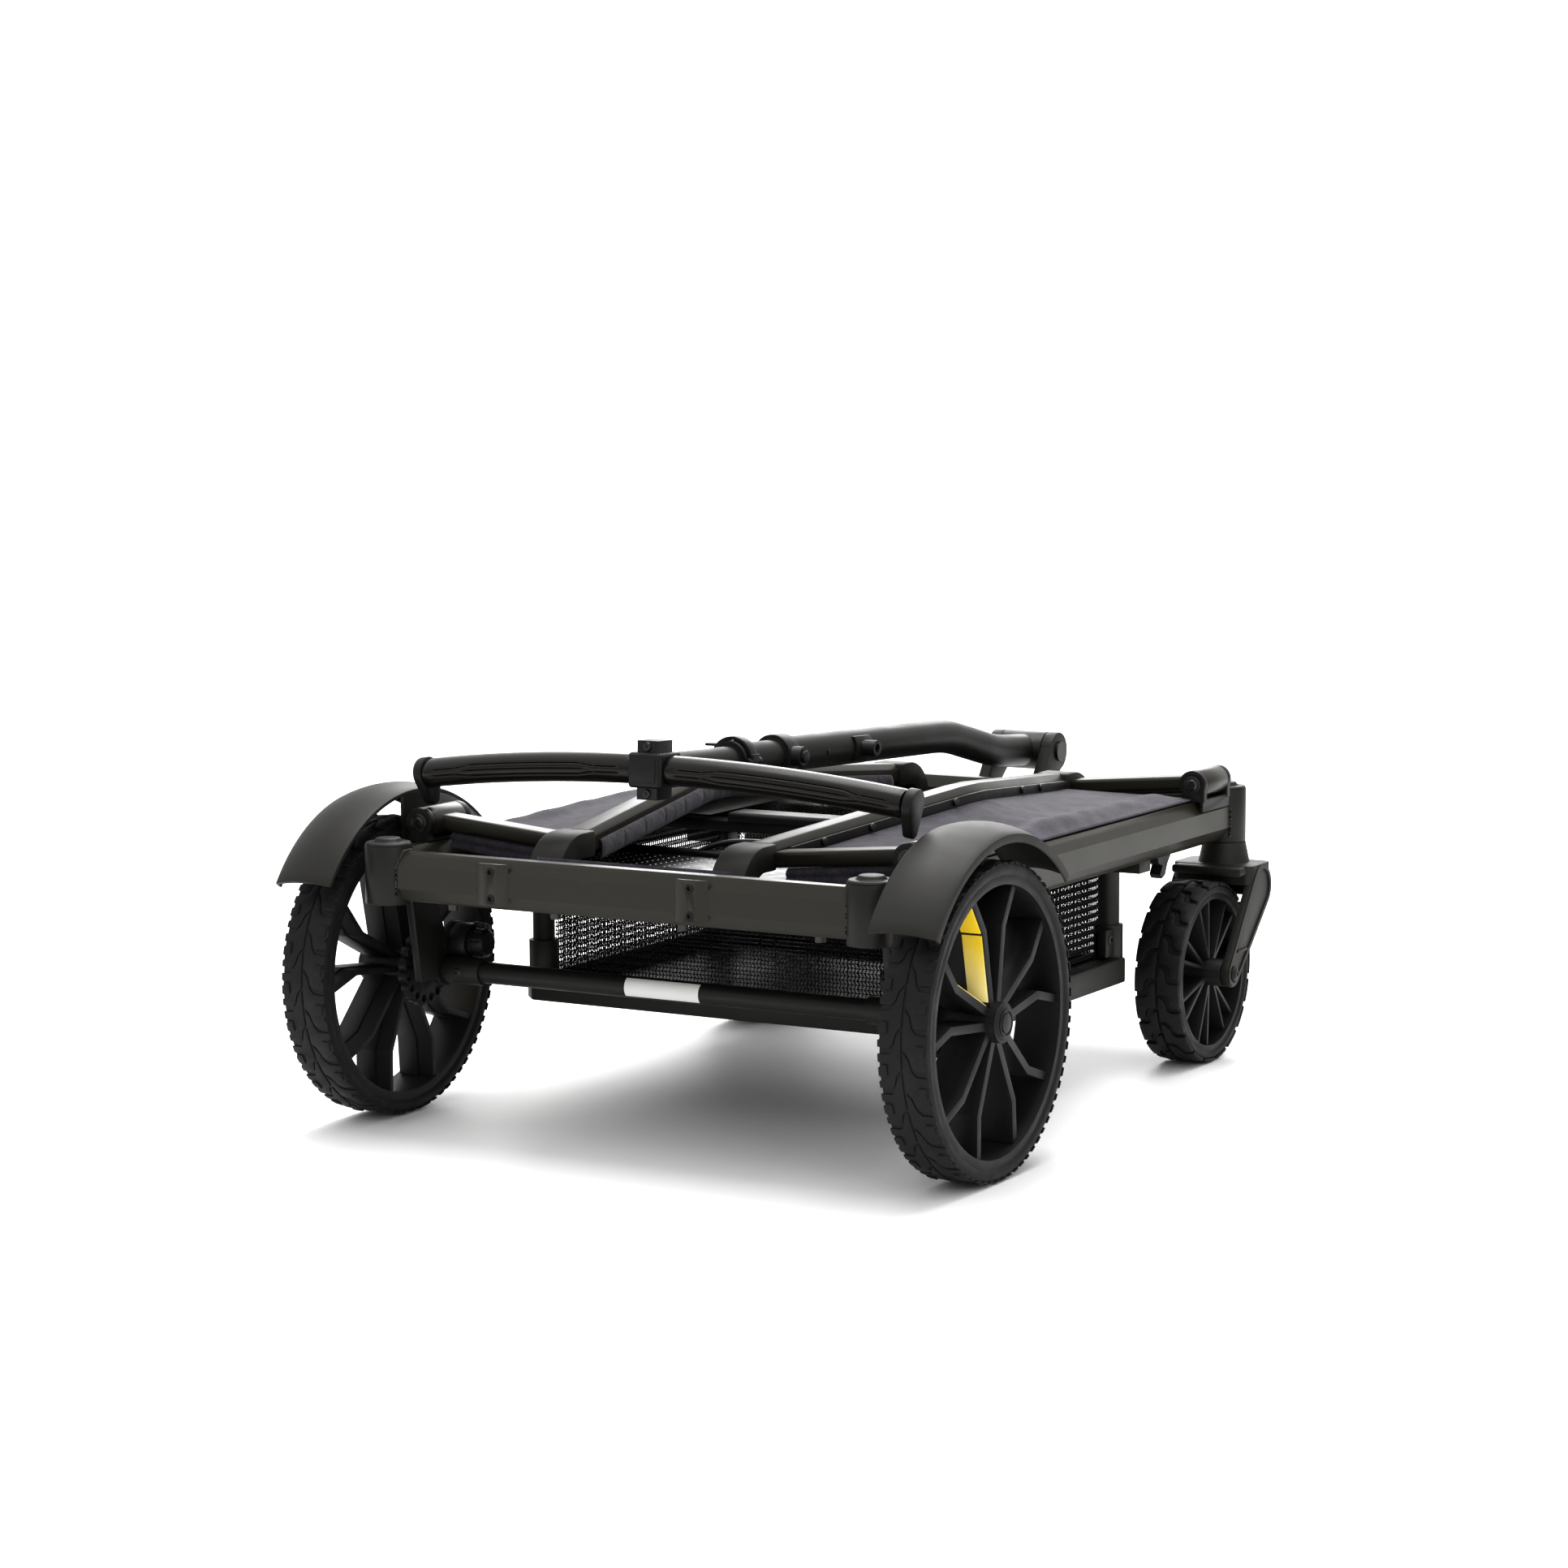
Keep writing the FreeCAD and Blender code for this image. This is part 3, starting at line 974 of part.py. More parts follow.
def build_handle_tube():
    tail = V(0, at(HANDLE_D), HANDLE_Z)
    bends = [tail + V(0, -back, rise) for back, rise in (TUBE_BEND_1, TUBE_BEND_2)]
    path = bent_wire([tail] + bends + [tube_point(TUBE_END)], TUBE_BEND_R)
    heading = bends[0] - tail
    outside = swept_circle(path, TUBE_R, tail, heading)
    inside = swept_circle(path, TUBE_R - TUBE_WALL, tail, heading)
    y, z = at(HANDLE_D), HANDLE_Z
    barrel = rod(HINGE_BARREL_R, V(-HINGE_BARREL_HALF, y, z), V(HINGE_BARREL_HALF, y, z))
    body = outside.cut(inside.cut(barrel)).fuse(barrel).removeSplitter()
    body = body.cut(rod(HANDLE_PIN_R + RUN_FIT, V(-HINGE_BARREL_HALF - 1, y, z), V(HINGE_BARREL_HALF + 1, y, z)))
    return body


def build_handle():
    mid_outer = TUBE_R - TUBE_WALL - RUN_FIT
    mid_inner = mid_outer - MID_WALL
    inner_outer = mid_inner - RUN_FIT
    outer_tube = build_handle_tube()
    # fixed collar with the push-button boss on its right side
    boss_in = TUBE_R + 0.8
    boss_out = TUBE_R + 11.5
    boss_r = BUTTON_R + 3.5
    collar = ring(COLLAR_R, TUBE_R, COLLAR_LENGTH).fuse(rod(boss_r, V(boss_in, 0, 0), V(boss_out, 0, 0)))
    collar = collar.cut(rod(BUTTON_R + RUN_FIT, V(COLLAR_R - 0.5, 0, 0), V(boss_out + 1, 0, 0)))
    collar = collar.cut(rod(TUBE_R, V(0, -COLLAR_LENGTH, 0), V(0, COLLAR_LENGTH, 0)))
    button = rod(BUTTON_R, V(COLLAR_R + BUTTON_TRAVEL, 0, 0), V(boss_out + BUTTON_TRAVEL + 0.5, 0, 0))
    # accessory socket on the right of the tube, and a rivet behind it
    saddle_half = 15.0
    saddle = ring(TUBE_R + 2.5, TUBE_R, 2 * saddle_half)
    saddle = saddle.common(box(TUBE_R - 6.0, TUBE_R + 4.0, -saddle_half, saddle_half, -11.0, 11.0))
    spigot = rod(7.5, V(TUBE_R + 1.5, 0, 0), V(TUBE_R + 15.0, 0, 0))
    hexagon = [V(TUBE_R + 9.0, 4.6 * math.cos(math.radians(60 * k)), 4.6 * math.sin(math.radians(60 * k)))
               for k in range(6)]
    socket = fused([saddle, spigot]).cut(prism(hexagon, V(10, 0, 0)))
    rivet = rod(2.5, V(TUBE_R - 0.8, 0, 0), V(TUBE_R + 1.2, 0, 0)).cut(ring(TUBE_R, 1.0, 20.0))
    # middle telescoping tube and its clamp
    mid_length = MID_TUBE_INNER_END - LEVER_COLLAR_D + LEVER_COLLAR_LENGTH / 2.0
    mid_tube = tube(mid_outer, mid_inner, V(0, -LEVER_COLLAR_LENGTH / 2.0, 0),
                    V(0, mid_length - LEVER_COLLAR_LENGTH / 2.0, 0))
    clamp_r = mid_outer + 3.2
    clamp = ring(clamp_r, mid_outer, LEVER_COLLAR_LENGTH)
    ear_x = clamp_r + 1.5
    ear_half = LEVER_COLLAR_LENGTH / 2.0
    ear_r = 3.2
    pin_r = 1.5
    ears = [rod(ear_r, V(ear_x, -ear_half, 0), V(ear_x, -ear_half + 5.0, 0)),
            rod(ear_r, V(ear_x, ear_half - 5.0, 0), V(ear_x, ear_half, 0))]
    bars = [box(clamp_r - 1.5, ear_x, -ear_half, -ear_half + 5.0, -ear_r, ear_r),
            box(clamp_r - 1.5, ear_x, ear_half - 5.0, ear_half, -ear_r, ear_r)]
    bore = rod(pin_r, V(ear_x, -ear_half - 1, 0), V(ear_x, ear_half + 1, 0))
    knuckle_room = rod(ear_r + CLEAR, V(ear_x, -ear_half + 5.0, 0), V(ear_x, ear_half - 5.0, 0))
    clamp = fused([clamp] + ears + bars).cut(bore).cut(knuckle_room)
    clamp_pin = rod(pin_r, V(ear_x, -ear_half, 0), V(ear_x, ear_half, 0))
    lever = build_lever(clamp_r, ear_x, ear_half - 5.0 - CLEAR, ear_r, pin_r)
    # inner tube with the block that holds the T-bar
    inner_length = INNER_TUBE_INNER_END - BLOCK_D
    inner_start = BLOCK_DEPTH / 2.0
    inner_tube = tube(inner_outer, inner_outer - INNER_WALL, V(0, inner_start, 0), V(0, inner_length, 0))
    nodes = {
        "handle_outer_tube": [outer_tube],
        "handle_collar": [on_tube(collar, COLLAR_D)],
        "collar_button": [on_tube(button, COLLAR_D)],
        "accessory_socket": [on_tube(socket, ACCESSORY_D), on_tube(rivet, RIVET_D)],
        "handle_middle_tube": [on_tube(mid_tube, LEVER_COLLAR_D)],
        "lever_collar": [on_tube(clamp, LEVER_COLLAR_D), on_tube(clamp_pin, LEVER_COLLAR_D)],
        "clamp_lever": [on_tube(lever, LEVER_COLLAR_D)],
        "handle_inner_tube": [on_tube(inner_tube, BLOCK_D)],
    }
    nodes.update(build_t_bar())
    return nodes


def build_lever(clamp_r, ear_x, half, ear_r, pin_r):
    """A curved cam lever over the top of the clamp, hinged at its right side."""
    inner = clamp_r + 0.6
    outer = inner + 3.0
    hoop = ring(outer, inner, 2 * half)
    keep = [V(0, -half, 0), V(0, -half, 0)]
    steps = 10
    reach = 3 * outer
    start_deg = 12.0
    keep = [V(0, -half, 0)]
    for step in range(steps + 1):
        angle = math.radians(start_deg + (LEVER_SWEEP_DEG - start_deg) * step / steps)
        keep.append(V(reach * math.cos(angle), -half, reach * math.sin(angle)))
    strap = hoop.common(prism(keep, V(0, 2 * half, 0)))
    tip_angle = math.radians(LEVER_SWEEP_DEG - 8.0)
    tip = V((inner + 1.0) * math.cos(tip_angle), 0, (inner + 1.0) * math.sin(tip_angle))
    tab = box(tip.x - 12.0, tip.x, -half, half, tip.z, tip.z + 2.2)
    knuckle = rod(ear_r, V(ear_x, -half, 0), V(ear_x, half, 0))
    root_angle = math.radians(start_deg + 2.0)
    root = box(ear_x - 1.0, ear_x + ear_r, -half, half, 0, (inner + 1.5) * math.sin(root_angle) + 1.5)
    bore = rod(pin_r + RUN_FIT, V(ear_x, -half - 1, 0), V(ear_x, half + 1, 0))
    clamp_room = rod(clamp_r + 0.3, V(0, -2 * half, 0), V(0, 2 * half, 0))
    return fused([strap, tab, knuckle, root]).cut(bore).cut(clamp_room)


def bar_point(share):
    """A point on the T-bar's arc; share runs from -1 at the left end to 1 at the right."""
    middle = tube_point(BLOCK_D)
    half = BAR_HALF
    drop = math.hypot(BAR_DROOP, BAR_SWEEP)
    radius = (half * half + drop * drop) / (2 * drop)
    angle = share * math.asin(half / radius)
    fall = radius * (1 - math.cos(angle))
    lean = V(0, BAR_SWEEP, -BAR_DROOP).normalize()
    return middle + V(radius * math.sin(angle), 0, 0) + lean * fall


def bar_arc(start, stop):
    return Part.Wire(Part.Arc(bar_point(start), bar_point((start + stop) / 2.0), bar_point(stop)).toShape())


def build_t_bar():
    core_path = bar_arc(-1.0, 1.0)
    core_heading = core_path.Edges[0].tangentAt(core_path.Edges[0].FirstParameter)
    core = swept_circle(core_path, BAR_R, bar_point(-1.0), core_heading)
    block = box(-BLOCK_WIDTH / 2.0, BLOCK_WIDTH / 2.0, -BLOCK_DEPTH / 2.0, BLOCK_DEPTH / 2.0,
                -BLOCK_HEIGHT / 2.0, BLOCK_HEIGHT / 2.0)
    block = block.makeFillet(3.0, block.Edges)
    lug = box(-LUG_WIDTH / 2.0, LUG_WIDTH / 2.0, -BLOCK_DEPTH / 2.0 + 5.0, BLOCK_DEPTH / 2.0 - 5.0,
              BLOCK_HEIGHT / 2.0 - 4.0, BLOCK_HEIGHT / 2.0 + LUG_HEIGHT)
    lugs = [lug, lug.mirror(V(0, 0, 0), V(0, 0, 1))]
    block = on_tube(fused([block] + lugs), BLOCK_D)
    screws = []
    for side in (1, -1):
        place = V(0, -BLOCK_DEPTH / 2.0 + 3.5, side * (BLOCK_HEIGHT / 2.0 + LUG_HEIGHT / 2.0))
        screws.append(on_tube(rod(SCREW_HEAD_R, place, place + V(0, 1.5, 0)), BLOCK_D))
    block = block.cut(core)
    grips = []
    grip_start = (BLOCK_WIDTH / 2.0 + 0.2) / BAR_HALF
    for side in (1, -1):
        path = bar_arc(side * grip_start, side * GRIP_STOP)
        heading = path.Edges[0].tangentAt(path.Edges[0].FirstParameter)
        ellipse = Part.Ellipse(V(0, 0, 0), GRIP_HALF_DEPTH, GRIP_HALF_HEIGHT)
        profile = Part.Wire(ellipse.toShape())
        frame = FreeCAD.Placement(bar_point(side * grip_start), FreeCAD.Rotation(V(0, 1, 0), V(0, 0, 1), heading, "ZXY"))
        profile.Placement = frame
        grips.append(path.makePipeShell([profile], True, True).cut(core))
    end = bar_point(GRIP_STOP)
    top_d = end.y - REAR_Y
    cap = taper_plate(top_d, end.z, CAP_R, top_d + 2.0, end.z - CAP_TOE_DROP, CAP_TOE_R,
                      end.x, end.x + CAP_THICKNESS)
    tangent = bar_arc(-1.0, GRIP_STOP).Edges[0]
    lean = FreeCAD.Rotation(V(1, 0, 0), tangent.tangentAt(tangent.LastParameter))
    cap = turned(cap, math.degrees(lean.Angle), end, lean.Axis).cut(core)
    return {
        "t_block": [block] + screws,
        "grip_bar": [core],
        "grips": grips,
        "grip_end_caps": pair(cap),
    }


# ---------------------------------------------------------------- assembly
def build_all():
    nodes = {}
    nodes.update(build_frame())
    pads, fasteners = build_rail_details()
    nodes["rear_cross_rail"] += pads
    brackets = []
    for d in POST_DS:
        brackets += pair(hinge_bracket(d))
        fasteners += pair(hinge_pin(d))
    nodes["wall_hinge_brackets"] = brackets
    base, handle_pin = build_hinge_base()
    nodes["handle_hinge_base"] = [base]
    fasteners.append(handle_pin)
    nodes["frame_fasteners"] = fasteners
    axle, hanger_in, pin_y, pin_z = build_axle()
    nodes.update(axle)
    nodes.update(build_brakes(hanger_in, pin_y, pin_z))
    nodes.update(build_fenders())
    nodes.update(build_footwell())
    nodes.update(build_floor())
    nodes.update(build_handle())
    sides = (("right", lambda shape: shape, RIGHT_ACCENT_PETAL), ("left", mirrored, LEFT_ACCENT_PETAL))
    for side_name, place, accent_petal in sides:
        nodes.update(build_wall(side_name, place))
        nodes.update(rear_wheel(side_name, place, accent_petal))
        nodes.update(caster(side_name, place))
    return nodes


os.makedirs("parts", exist_ok=True)
for node_name, solids in build_all().items():
    whole = solids[0] if len(solids) == 1 else Part.makeCompound(solids)
    whole.exportStep("parts/" + node_name + ".step")
    faults = [index for index, solid in enumerate(solids) if not solid.isValid() or len(solid.Solids) != 1]
    print(node_name, "solids", len(whole.Solids), "volume %.0f" % whole.Volume, "faults" if faults else "", faults or "")
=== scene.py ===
# %% [markdown]
# # A folded wagon-style pet stroller
# The stroller is a flat four-wheel frame whose cloth walls are folded down, with the T-shaped handle laid on top.
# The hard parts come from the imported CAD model. This lesson gives them real materials and rounded edges, and
# models what the CAD left plain: tyre treads, cloth, nets, grips, welds and brake wires.

# %% Load the frame
import json
import math
import random

import bmesh
import bpy
from mathutils import Matrix, Vector, noise


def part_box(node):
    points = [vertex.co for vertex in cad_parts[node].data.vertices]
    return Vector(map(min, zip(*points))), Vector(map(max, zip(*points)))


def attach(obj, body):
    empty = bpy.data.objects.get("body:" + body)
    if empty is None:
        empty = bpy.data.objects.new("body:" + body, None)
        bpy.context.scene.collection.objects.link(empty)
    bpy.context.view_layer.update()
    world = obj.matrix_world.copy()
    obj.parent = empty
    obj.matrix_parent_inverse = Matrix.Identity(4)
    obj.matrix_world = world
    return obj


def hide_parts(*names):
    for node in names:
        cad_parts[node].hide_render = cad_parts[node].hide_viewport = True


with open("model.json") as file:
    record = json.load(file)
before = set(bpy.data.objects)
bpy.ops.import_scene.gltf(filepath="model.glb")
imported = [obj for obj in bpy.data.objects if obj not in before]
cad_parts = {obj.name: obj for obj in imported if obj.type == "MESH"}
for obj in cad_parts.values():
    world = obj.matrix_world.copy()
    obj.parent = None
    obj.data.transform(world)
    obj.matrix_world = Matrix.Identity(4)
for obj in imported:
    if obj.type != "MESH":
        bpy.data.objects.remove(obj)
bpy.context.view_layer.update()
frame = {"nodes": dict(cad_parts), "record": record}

record = frame["record"]
body_of_node = {node: body for body, nodes in record["behaviour"]["bodies"].items() for node in nodes}
random.seed(7)

# %% [markdown]
# Every piece below is drawn in millimetres, with lengths along the frame measured forward from the rear corner
# sleeves. The sleeves' own CAD box says where that is, so nothing is placed by eye.

# %% Millimetres from the rear sleeves
SLEEVE_RADIUS = 20.5
rear_sleeve_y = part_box("corner_sleeves")[0].y * 1000 + SLEEVE_RADIUS


def to_metres(bm):
    bmesh.ops.scale(bm, verts=bm.verts, vec=(0.001, 0.001, 0.001))


def place(bm):
    """Moves a mesh drawn in millimetres from the rear sleeves to its place in the row frame, in metres."""
    bmesh.ops.translate(bm, verts=bm.verts, vec=(0, rear_sleeve_y, 0))
    to_metres(bm)


print("rear sleeves stand at y = %.2f mm" % rear_sleeve_y)

# %% Turn a bmesh into a piece that rides on a body
SIDES = (("right", 1), ("left", -1))


def piece(bm, name, material, body, sharp_deg=35.0):
    mesh = bpy.data.meshes.new(name)
    bm.to_mesh(mesh)
    bm.free()
    mesh.materials.append(material)
    mesh.shade_smooth()
    mesh.set_sharp_from_angle(angle=math.radians(sharp_deg))
    made = bpy.data.objects.new(name, mesh)
    bpy.context.scene.collection.objects.link(made)
    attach(made, body)
    print(name, len(mesh.polygons), "faces")
    return made


def thicken(made, thickness_m):
    """Gives an open sheet its thickness, half to each side."""
    thick = made.modifiers.new("thickness", "SOLIDIFY")
    thick.thickness = thickness_m
    thick.offset = 0.0


# %% [markdown]
# Four small steps come back in many pieces: adding one mesh to another, softening edges, pushing faces out and
# joining rings of points into a tube.

# %% Mesh steps that come back
def absorb(bm, other):
    """Adds the second mesh to the first and frees it."""
    spare = bpy.data.meshes.new("spare")
    other.to_mesh(spare)
    other.free()
    bm.from_mesh(spare)
    bpy.data.meshes.remove(spare)


def soften(bm, edges, width):
    bmesh.ops.bevel(bm, geom=edges, offset=width, offset_type="OFFSET", segments=2, profile=0.5, affect="EDGES",
                    clamp_overlap=True, material=-1)


def push_out(bm, faces, way):
    """Extrudes faces along a vector, and returns the verts that moved."""
    pushed = bmesh.ops.extrude_face_region(bm, geom=faces)
    moved = [v for v in pushed["geom"] if isinstance(v, bmesh.types.BMVert)]
    bmesh.ops.translate(bm, verts=moved, vec=way)
    return moved


def join_rings(bm, rings):
    """Adds the faces between each ring of verts and the next."""
    count = len(rings[0])
    for near, far in zip(rings, rings[1:]):
        for i in range(count):
            j = (i + 1) % count
            bm.faces.new((near[i], near[j], far[j], far[i]))


def skin_tube(bm, rings):
    """Joins the rings and fills both ends."""
    join_rings(bm, rings)
    bm.faces.new(rings[0][::-1])
    bm.faces.new(rings[-1])


# %% [markdown]
# ## Colours and nodes
# Colours are written as the sRGB hex values that a colour picker shows, and one function turns them to the
# linear numbers that the shaders work in. One other function adds a node with its settings and its links.

# %% Colour and node helpers
SPECULAR = 0.35                 # a little under the usual half, for dry matt surfaces


def linear(hex_code):
    channels = [int(hex_code[i:i + 2], 16) / 255 for i in (1, 3, 5)]
    return tuple(c / 12.92 if c <= 0.04045 else ((c + 0.055) / 1.055) ** 2.4 for c in channels) + (1.0,)


def add_node(tree, kind, links=None, **settings):
    made = tree.nodes.new(kind)
    for name, value in settings.items():
        setattr(made, name, value)
    for socket, source in (links or {}).items():
        if isinstance(source, bpy.types.NodeSocket):
            tree.links.new(source, made.inputs[socket])
        else:
            made.inputs[socket].default_value = source
    return made


def start_material(name, colour, roughness):
    """A material with its shader set, and the object coordinates that its patterns read."""
    material = bpy.data.materials.new(name)
    material.use_nodes = True
    tree = material.node_tree
    shader = tree.nodes["Principled BSDF"]
    shader.inputs["Base Color"].default_value = linear(colour)
    shader.inputs["Roughness"].default_value = roughness
    shader.inputs["Specular IOR Level"].default_value = SPECULAR
    where = add_node(tree, "ShaderNodeTexCoord").outputs["Object"]
    print("made", name)
    return material, tree, shader, where


def mottle(tree, shader, where, size_mm, dark, light):
    """Lets the base colour wander between two tones, over patches of a real size."""
    patches = add_node(tree, "ShaderNodeTexNoise", {"Vector": where, "Scale": 1000 / size_mm, "Detail": 3.0})
    tones = add_node(tree, "ShaderNodeMix", {"Factor": patches.outputs["Fac"]}, data_type="RGBA")
    tones.inputs["A"].default_value = linear(dark)
    tones.inputs["B"].default_value = linear(light)
    tree.links.new(tones.outputs["Result"], shader.inputs["Base Color"])
    return patches


def grain(tree, shader, where, size_mm, depth_mm):
    """A fine surface grain as a bump, its size and depth in millimetres."""
    bumps = add_node(tree, "ShaderNodeTexNoise", {"Vector": where, "Scale": 1000 / size_mm, "Detail": 2.0})
    bump = add_node(tree, "ShaderNodeBump", {"Height": bumps.outputs["Fac"], "Distance": depth_mm / 1000,
                                             "Strength": 1.0})
    tree.links.new(bump.outputs["Normal"], shader.inputs["Normal"])


def rough_patches(tree, shader, source, low, high):
    """Makes the roughness follow a pattern, between two values."""
    spread = add_node(tree, "ShaderNodeMapRange", {"Value": source, "From Min": 0.3, "From Max": 0.7,
                                                   "To Min": low, "To Max": high})
    tree.links.new(spread.outputs["Result"], shader.inputs["Roughness"])


def finished(name, colour, roughness, patch_mm, tones, rough_range, grain_size):
    """A material whose colour and roughness wander together under a fine grain."""
    material, tree, shader, where = start_material(name, colour, roughness)
    patches = mottle(tree, shader, where, patch_mm, *tones)
    rough_patches(tree, shader, patches.outputs["Fac"], *rough_range)
    grain(tree, shader, where, *grain_size)
    return material, shader


# %% [markdown]
# ## Powder-coated aluminium
# The rails are extruded aluminium under a warm olive-grey powder coat. Powder melts into a skin with a faint
# orange peel, a few tenths of a millimetre across, and its satin gloss turns bright where light grazes it.

# %% Powder coat on the rails and tubes
powder_coat, shader = finished("powder_coat_olive_grey", "#25231b", 0.36, 60.0, ("#222018", "#29271e"),
                               (0.31, 0.4), (0.9, 0.02))
shader.inputs["Coat Weight"].default_value = 0.1
shader.inputs["Coat Roughness"].default_value = 0.22

# %% Darker powder coat on the welded steel
steel_coat, _ = finished("powder_coat_steel", "#1a1a18", 0.38, 40.0, ("#171715", "#1f1e1c"), (0.38, 0.5), (0.9, 0.03))

# %% [markdown]
# ## Moulded plastics
# The brackets, elbows and hoods are glass-filled nylon, moulded in a tool with a spark-eroded grain, so they
# are near-black with a soft sheen. The mudguards and hoods carry a smoother, browner skin.

# %% Glass-filled nylon, near black
nylon, _ = finished("nylon_moulded_black", "#111110", 0.42, 25.0, ("#0f0f0e", "#151514"), (0.4, 0.52), (0.7, 0.03))

# %% Polypropylene of the mudguards and elbows
polypropylene, _ = finished("polypropylene_olive_black", "#201f1b", 0.46, 45.0, ("#1e1d19", "#24231e"),
                            (0.46, 0.56), (0.8, 0.025))

# %% Wheel nylon, charcoal
wheel_nylon, _ = finished("nylon_wheel_charcoal", "#131313", 0.46, 30.0, ("#111111", "#171717"),
                          (0.46, 0.58), (0.7, 0.03))

# %% Yellow ABS liner, paler towards the hub
yellow_abs, tree, shader, where = start_material("abs_yellow_gloss", "#fbdc3c", 0.35)
wheel_low, wheel_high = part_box("right_wheel_tyre")
wheel_centre = (wheel_low + wheel_high) / 2
centred = add_node(tree, "ShaderNodeMapping", {"Vector": where, "Location": (0, -wheel_centre.y, -wheel_centre.z)})
flattened = add_node(tree, "ShaderNodeVectorMath", {0: centred.outputs["Vector"], 1: (0, 1, 1)},
                     operation="MULTIPLY")
radius = add_node(tree, "ShaderNodeVectorMath", {0: flattened.outputs["Vector"]}, operation="LENGTH")
fade = add_node(tree, "ShaderNodeMapRange", {"Value": radius.outputs["Value"], "From Min": 0.03, "From Max": 0.07})
tint = add_node(tree, "ShaderNodeMix", {"Factor": fade.outputs["Result"]}, data_type="RGBA")
tint.inputs["A"].default_value = linear("#fff3b4")
tint.inputs["B"].default_value = linear("#fbdc3c")
tree.links.new(tint.outputs["Result"], shader.inputs["Base Color"])

# %% [markdown]
# ## Rubber
# The tyres are foamed EVA rubber: matt, almost black, with a dry skin that picks up a little grey dust. The
# handle grips are a smoother thermoplastic rubber with an oily sheen.

# %% Tyre rubber
tyre_rubber, _ = finished("eva_tyre_rubber", "#111112", 0.6, 18.0, ("#0f0f10", "#161617"), (0.54, 0.68), (0.6, 0.05))

# %% Grip rubber
grip_rubber, _ = finished("tpe_grip_rubber", "#120f0c", 0.28, 30.0, ("#100d0b", "#16130f"), (0.24, 0.34), (0.5, 0.01))

# %% [markdown]
# ## Zinc-plated screws and label film
# The screws are steel under black zinc, which still looks like metal. The label is a plain white film, and the same
# white paints the boards' dots as painted highlights.

# %% Black zinc on steel
black_zinc, tree, shader, where = start_material("black_zinc_steel", "#4a4845", 0.35)
shader.inputs["Metallic"].default_value = 1.0
patches = mottle(tree, shader, where, 6.0, "#3c3b39", "#5a5856")
rough_patches(tree, shader, patches.outputs["Fac"], 0.28, 0.45)

# %% Label film, also the white of the boards' painted highlight dots
# one white serves the axle's real label and the painted highlight dots on the floor boards
label_film_and_highlight_paint, tree, shader, where = start_material("white_label_and_painted_highlight", "#e9e9e6", 0.45)
mottle(tree, shader, where, 20.0, "#e3e3e0", "#eeeeec")

# %% [markdown]
# ## Heather polyester
# The walls are polyester canvas woven from black and lilac-grey yarns, so it looks grey-purple with a fine
# salt-and-pepper mottle. Two wave patterns at right angles draw the weave. Real yarns lie 0.4 mm apart, which
# is too fine to show, so they are drawn at 1.1 mm.

# %% Heather cloth
cloth, tree, shader, where = start_material("heather_polyester", "#37343b", 0.85)
speckle = add_node(tree, "ShaderNodeTexNoise", {"Vector": where, "Scale": 1000 / 1.6, "Detail": 2.0})
cloudy = add_node(tree, "ShaderNodeTexNoise", {"Vector": where, "Scale": 1000 / 14.0, "Detail": 3.0})
both = add_node(tree, "ShaderNodeMath", {0: speckle.outputs["Fac"], 1: cloudy.outputs["Fac"]}, operation="ADD")
spread = add_node(tree, "ShaderNodeMapRange", {"Value": both.outputs["Value"], "From Min": 0.75, "From Max": 1.25})
yarns = add_node(tree, "ShaderNodeMix", {"Factor": spread.outputs["Result"]}, data_type="RGBA")
yarns.inputs["A"].default_value = linear("#242128")
yarns.inputs["B"].default_value = linear("#423e48")
tree.links.new(yarns.outputs["Result"], shader.inputs["Base Color"])
YARN_MM = 1.1
warp, weft = (add_node(tree, "ShaderNodeTexWave",
                       {"Vector": where, "Scale": 1000 / YARN_MM / 20.0 * math.pi, "Distortion": 0.6},
                       bands_direction=direction) for direction in ("X", "Y"))
weave = add_node(tree, "ShaderNodeMath", {0: warp.outputs["Fac"], 1: weft.outputs["Fac"]}, operation="MULTIPLY")
bump = add_node(tree, "ShaderNodeBump", {"Height": weave.outputs["Value"], "Distance": 0.00025, "Strength": 0.8})
tree.links.new(bump.outputs["Normal"], shader.inputs["Normal"])
shader.inputs["Sheen Weight"].default_value = 0.18
shader.inputs["Sheen Roughness"].default_value = 0.5

# %% Black net yarn and the boards' vinyl skin
net_yarn, tree, shader, where = start_material("polyester_net_black", "#0c0c0d", 0.6)
mottle(tree, shader, where, 3.0, "#09090a", "#121213")
grain(tree, shader, where, 0.8, 0.08)
board_skin, _ = finished("board_skin_black_vinyl", "#0e0e10", 0.28, 12.0, ("#0c0c0e", "#131315"),
                         (0.24, 0.38), (1.2, 0.06))

# %% [markdown]
# ## Round the edges of the CAD parts
# No moulded or extruded part has a perfectly sharp edge, and the thin highlight along a rounded edge is what
# makes it read as real. Each CAD part is copied, its loose triangles are merged and flattened back into whole
# faces, and every edge sharper than an angle gets a small bevel. The CAD node itself is left alone, and the
# rounded copy is shown in its place.

# %% A rounded copy of a CAD node
MERGE_M = 0.00002               # loose triangles share corners to within this
FLAT_DEG = 0.6                  # faces that meet flatter than this are one face
SHARP_DEG = 32.0                # edges sharper than this are rounded


def rounded(node, material, width_mm):
    bm = bmesh.new()
    bm.from_mesh(frame["nodes"][node].data)
    bmesh.ops.remove_doubles(bm, verts=bm.verts, dist=MERGE_M)
    bmesh.ops.dissolve_limit(bm, angle_limit=math.radians(FLAT_DEG), verts=bm.verts, edges=bm.edges)
    corners = [edge for edge in bm.edges if edge.is_manifold and edge.calc_face_angle(0.0) > math.radians(SHARP_DEG)]
    soften(bm, corners, width_mm / 1000)
    made = piece(bm, node + "_rounded", material, body_of_node[node], 30.0)
    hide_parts(node)


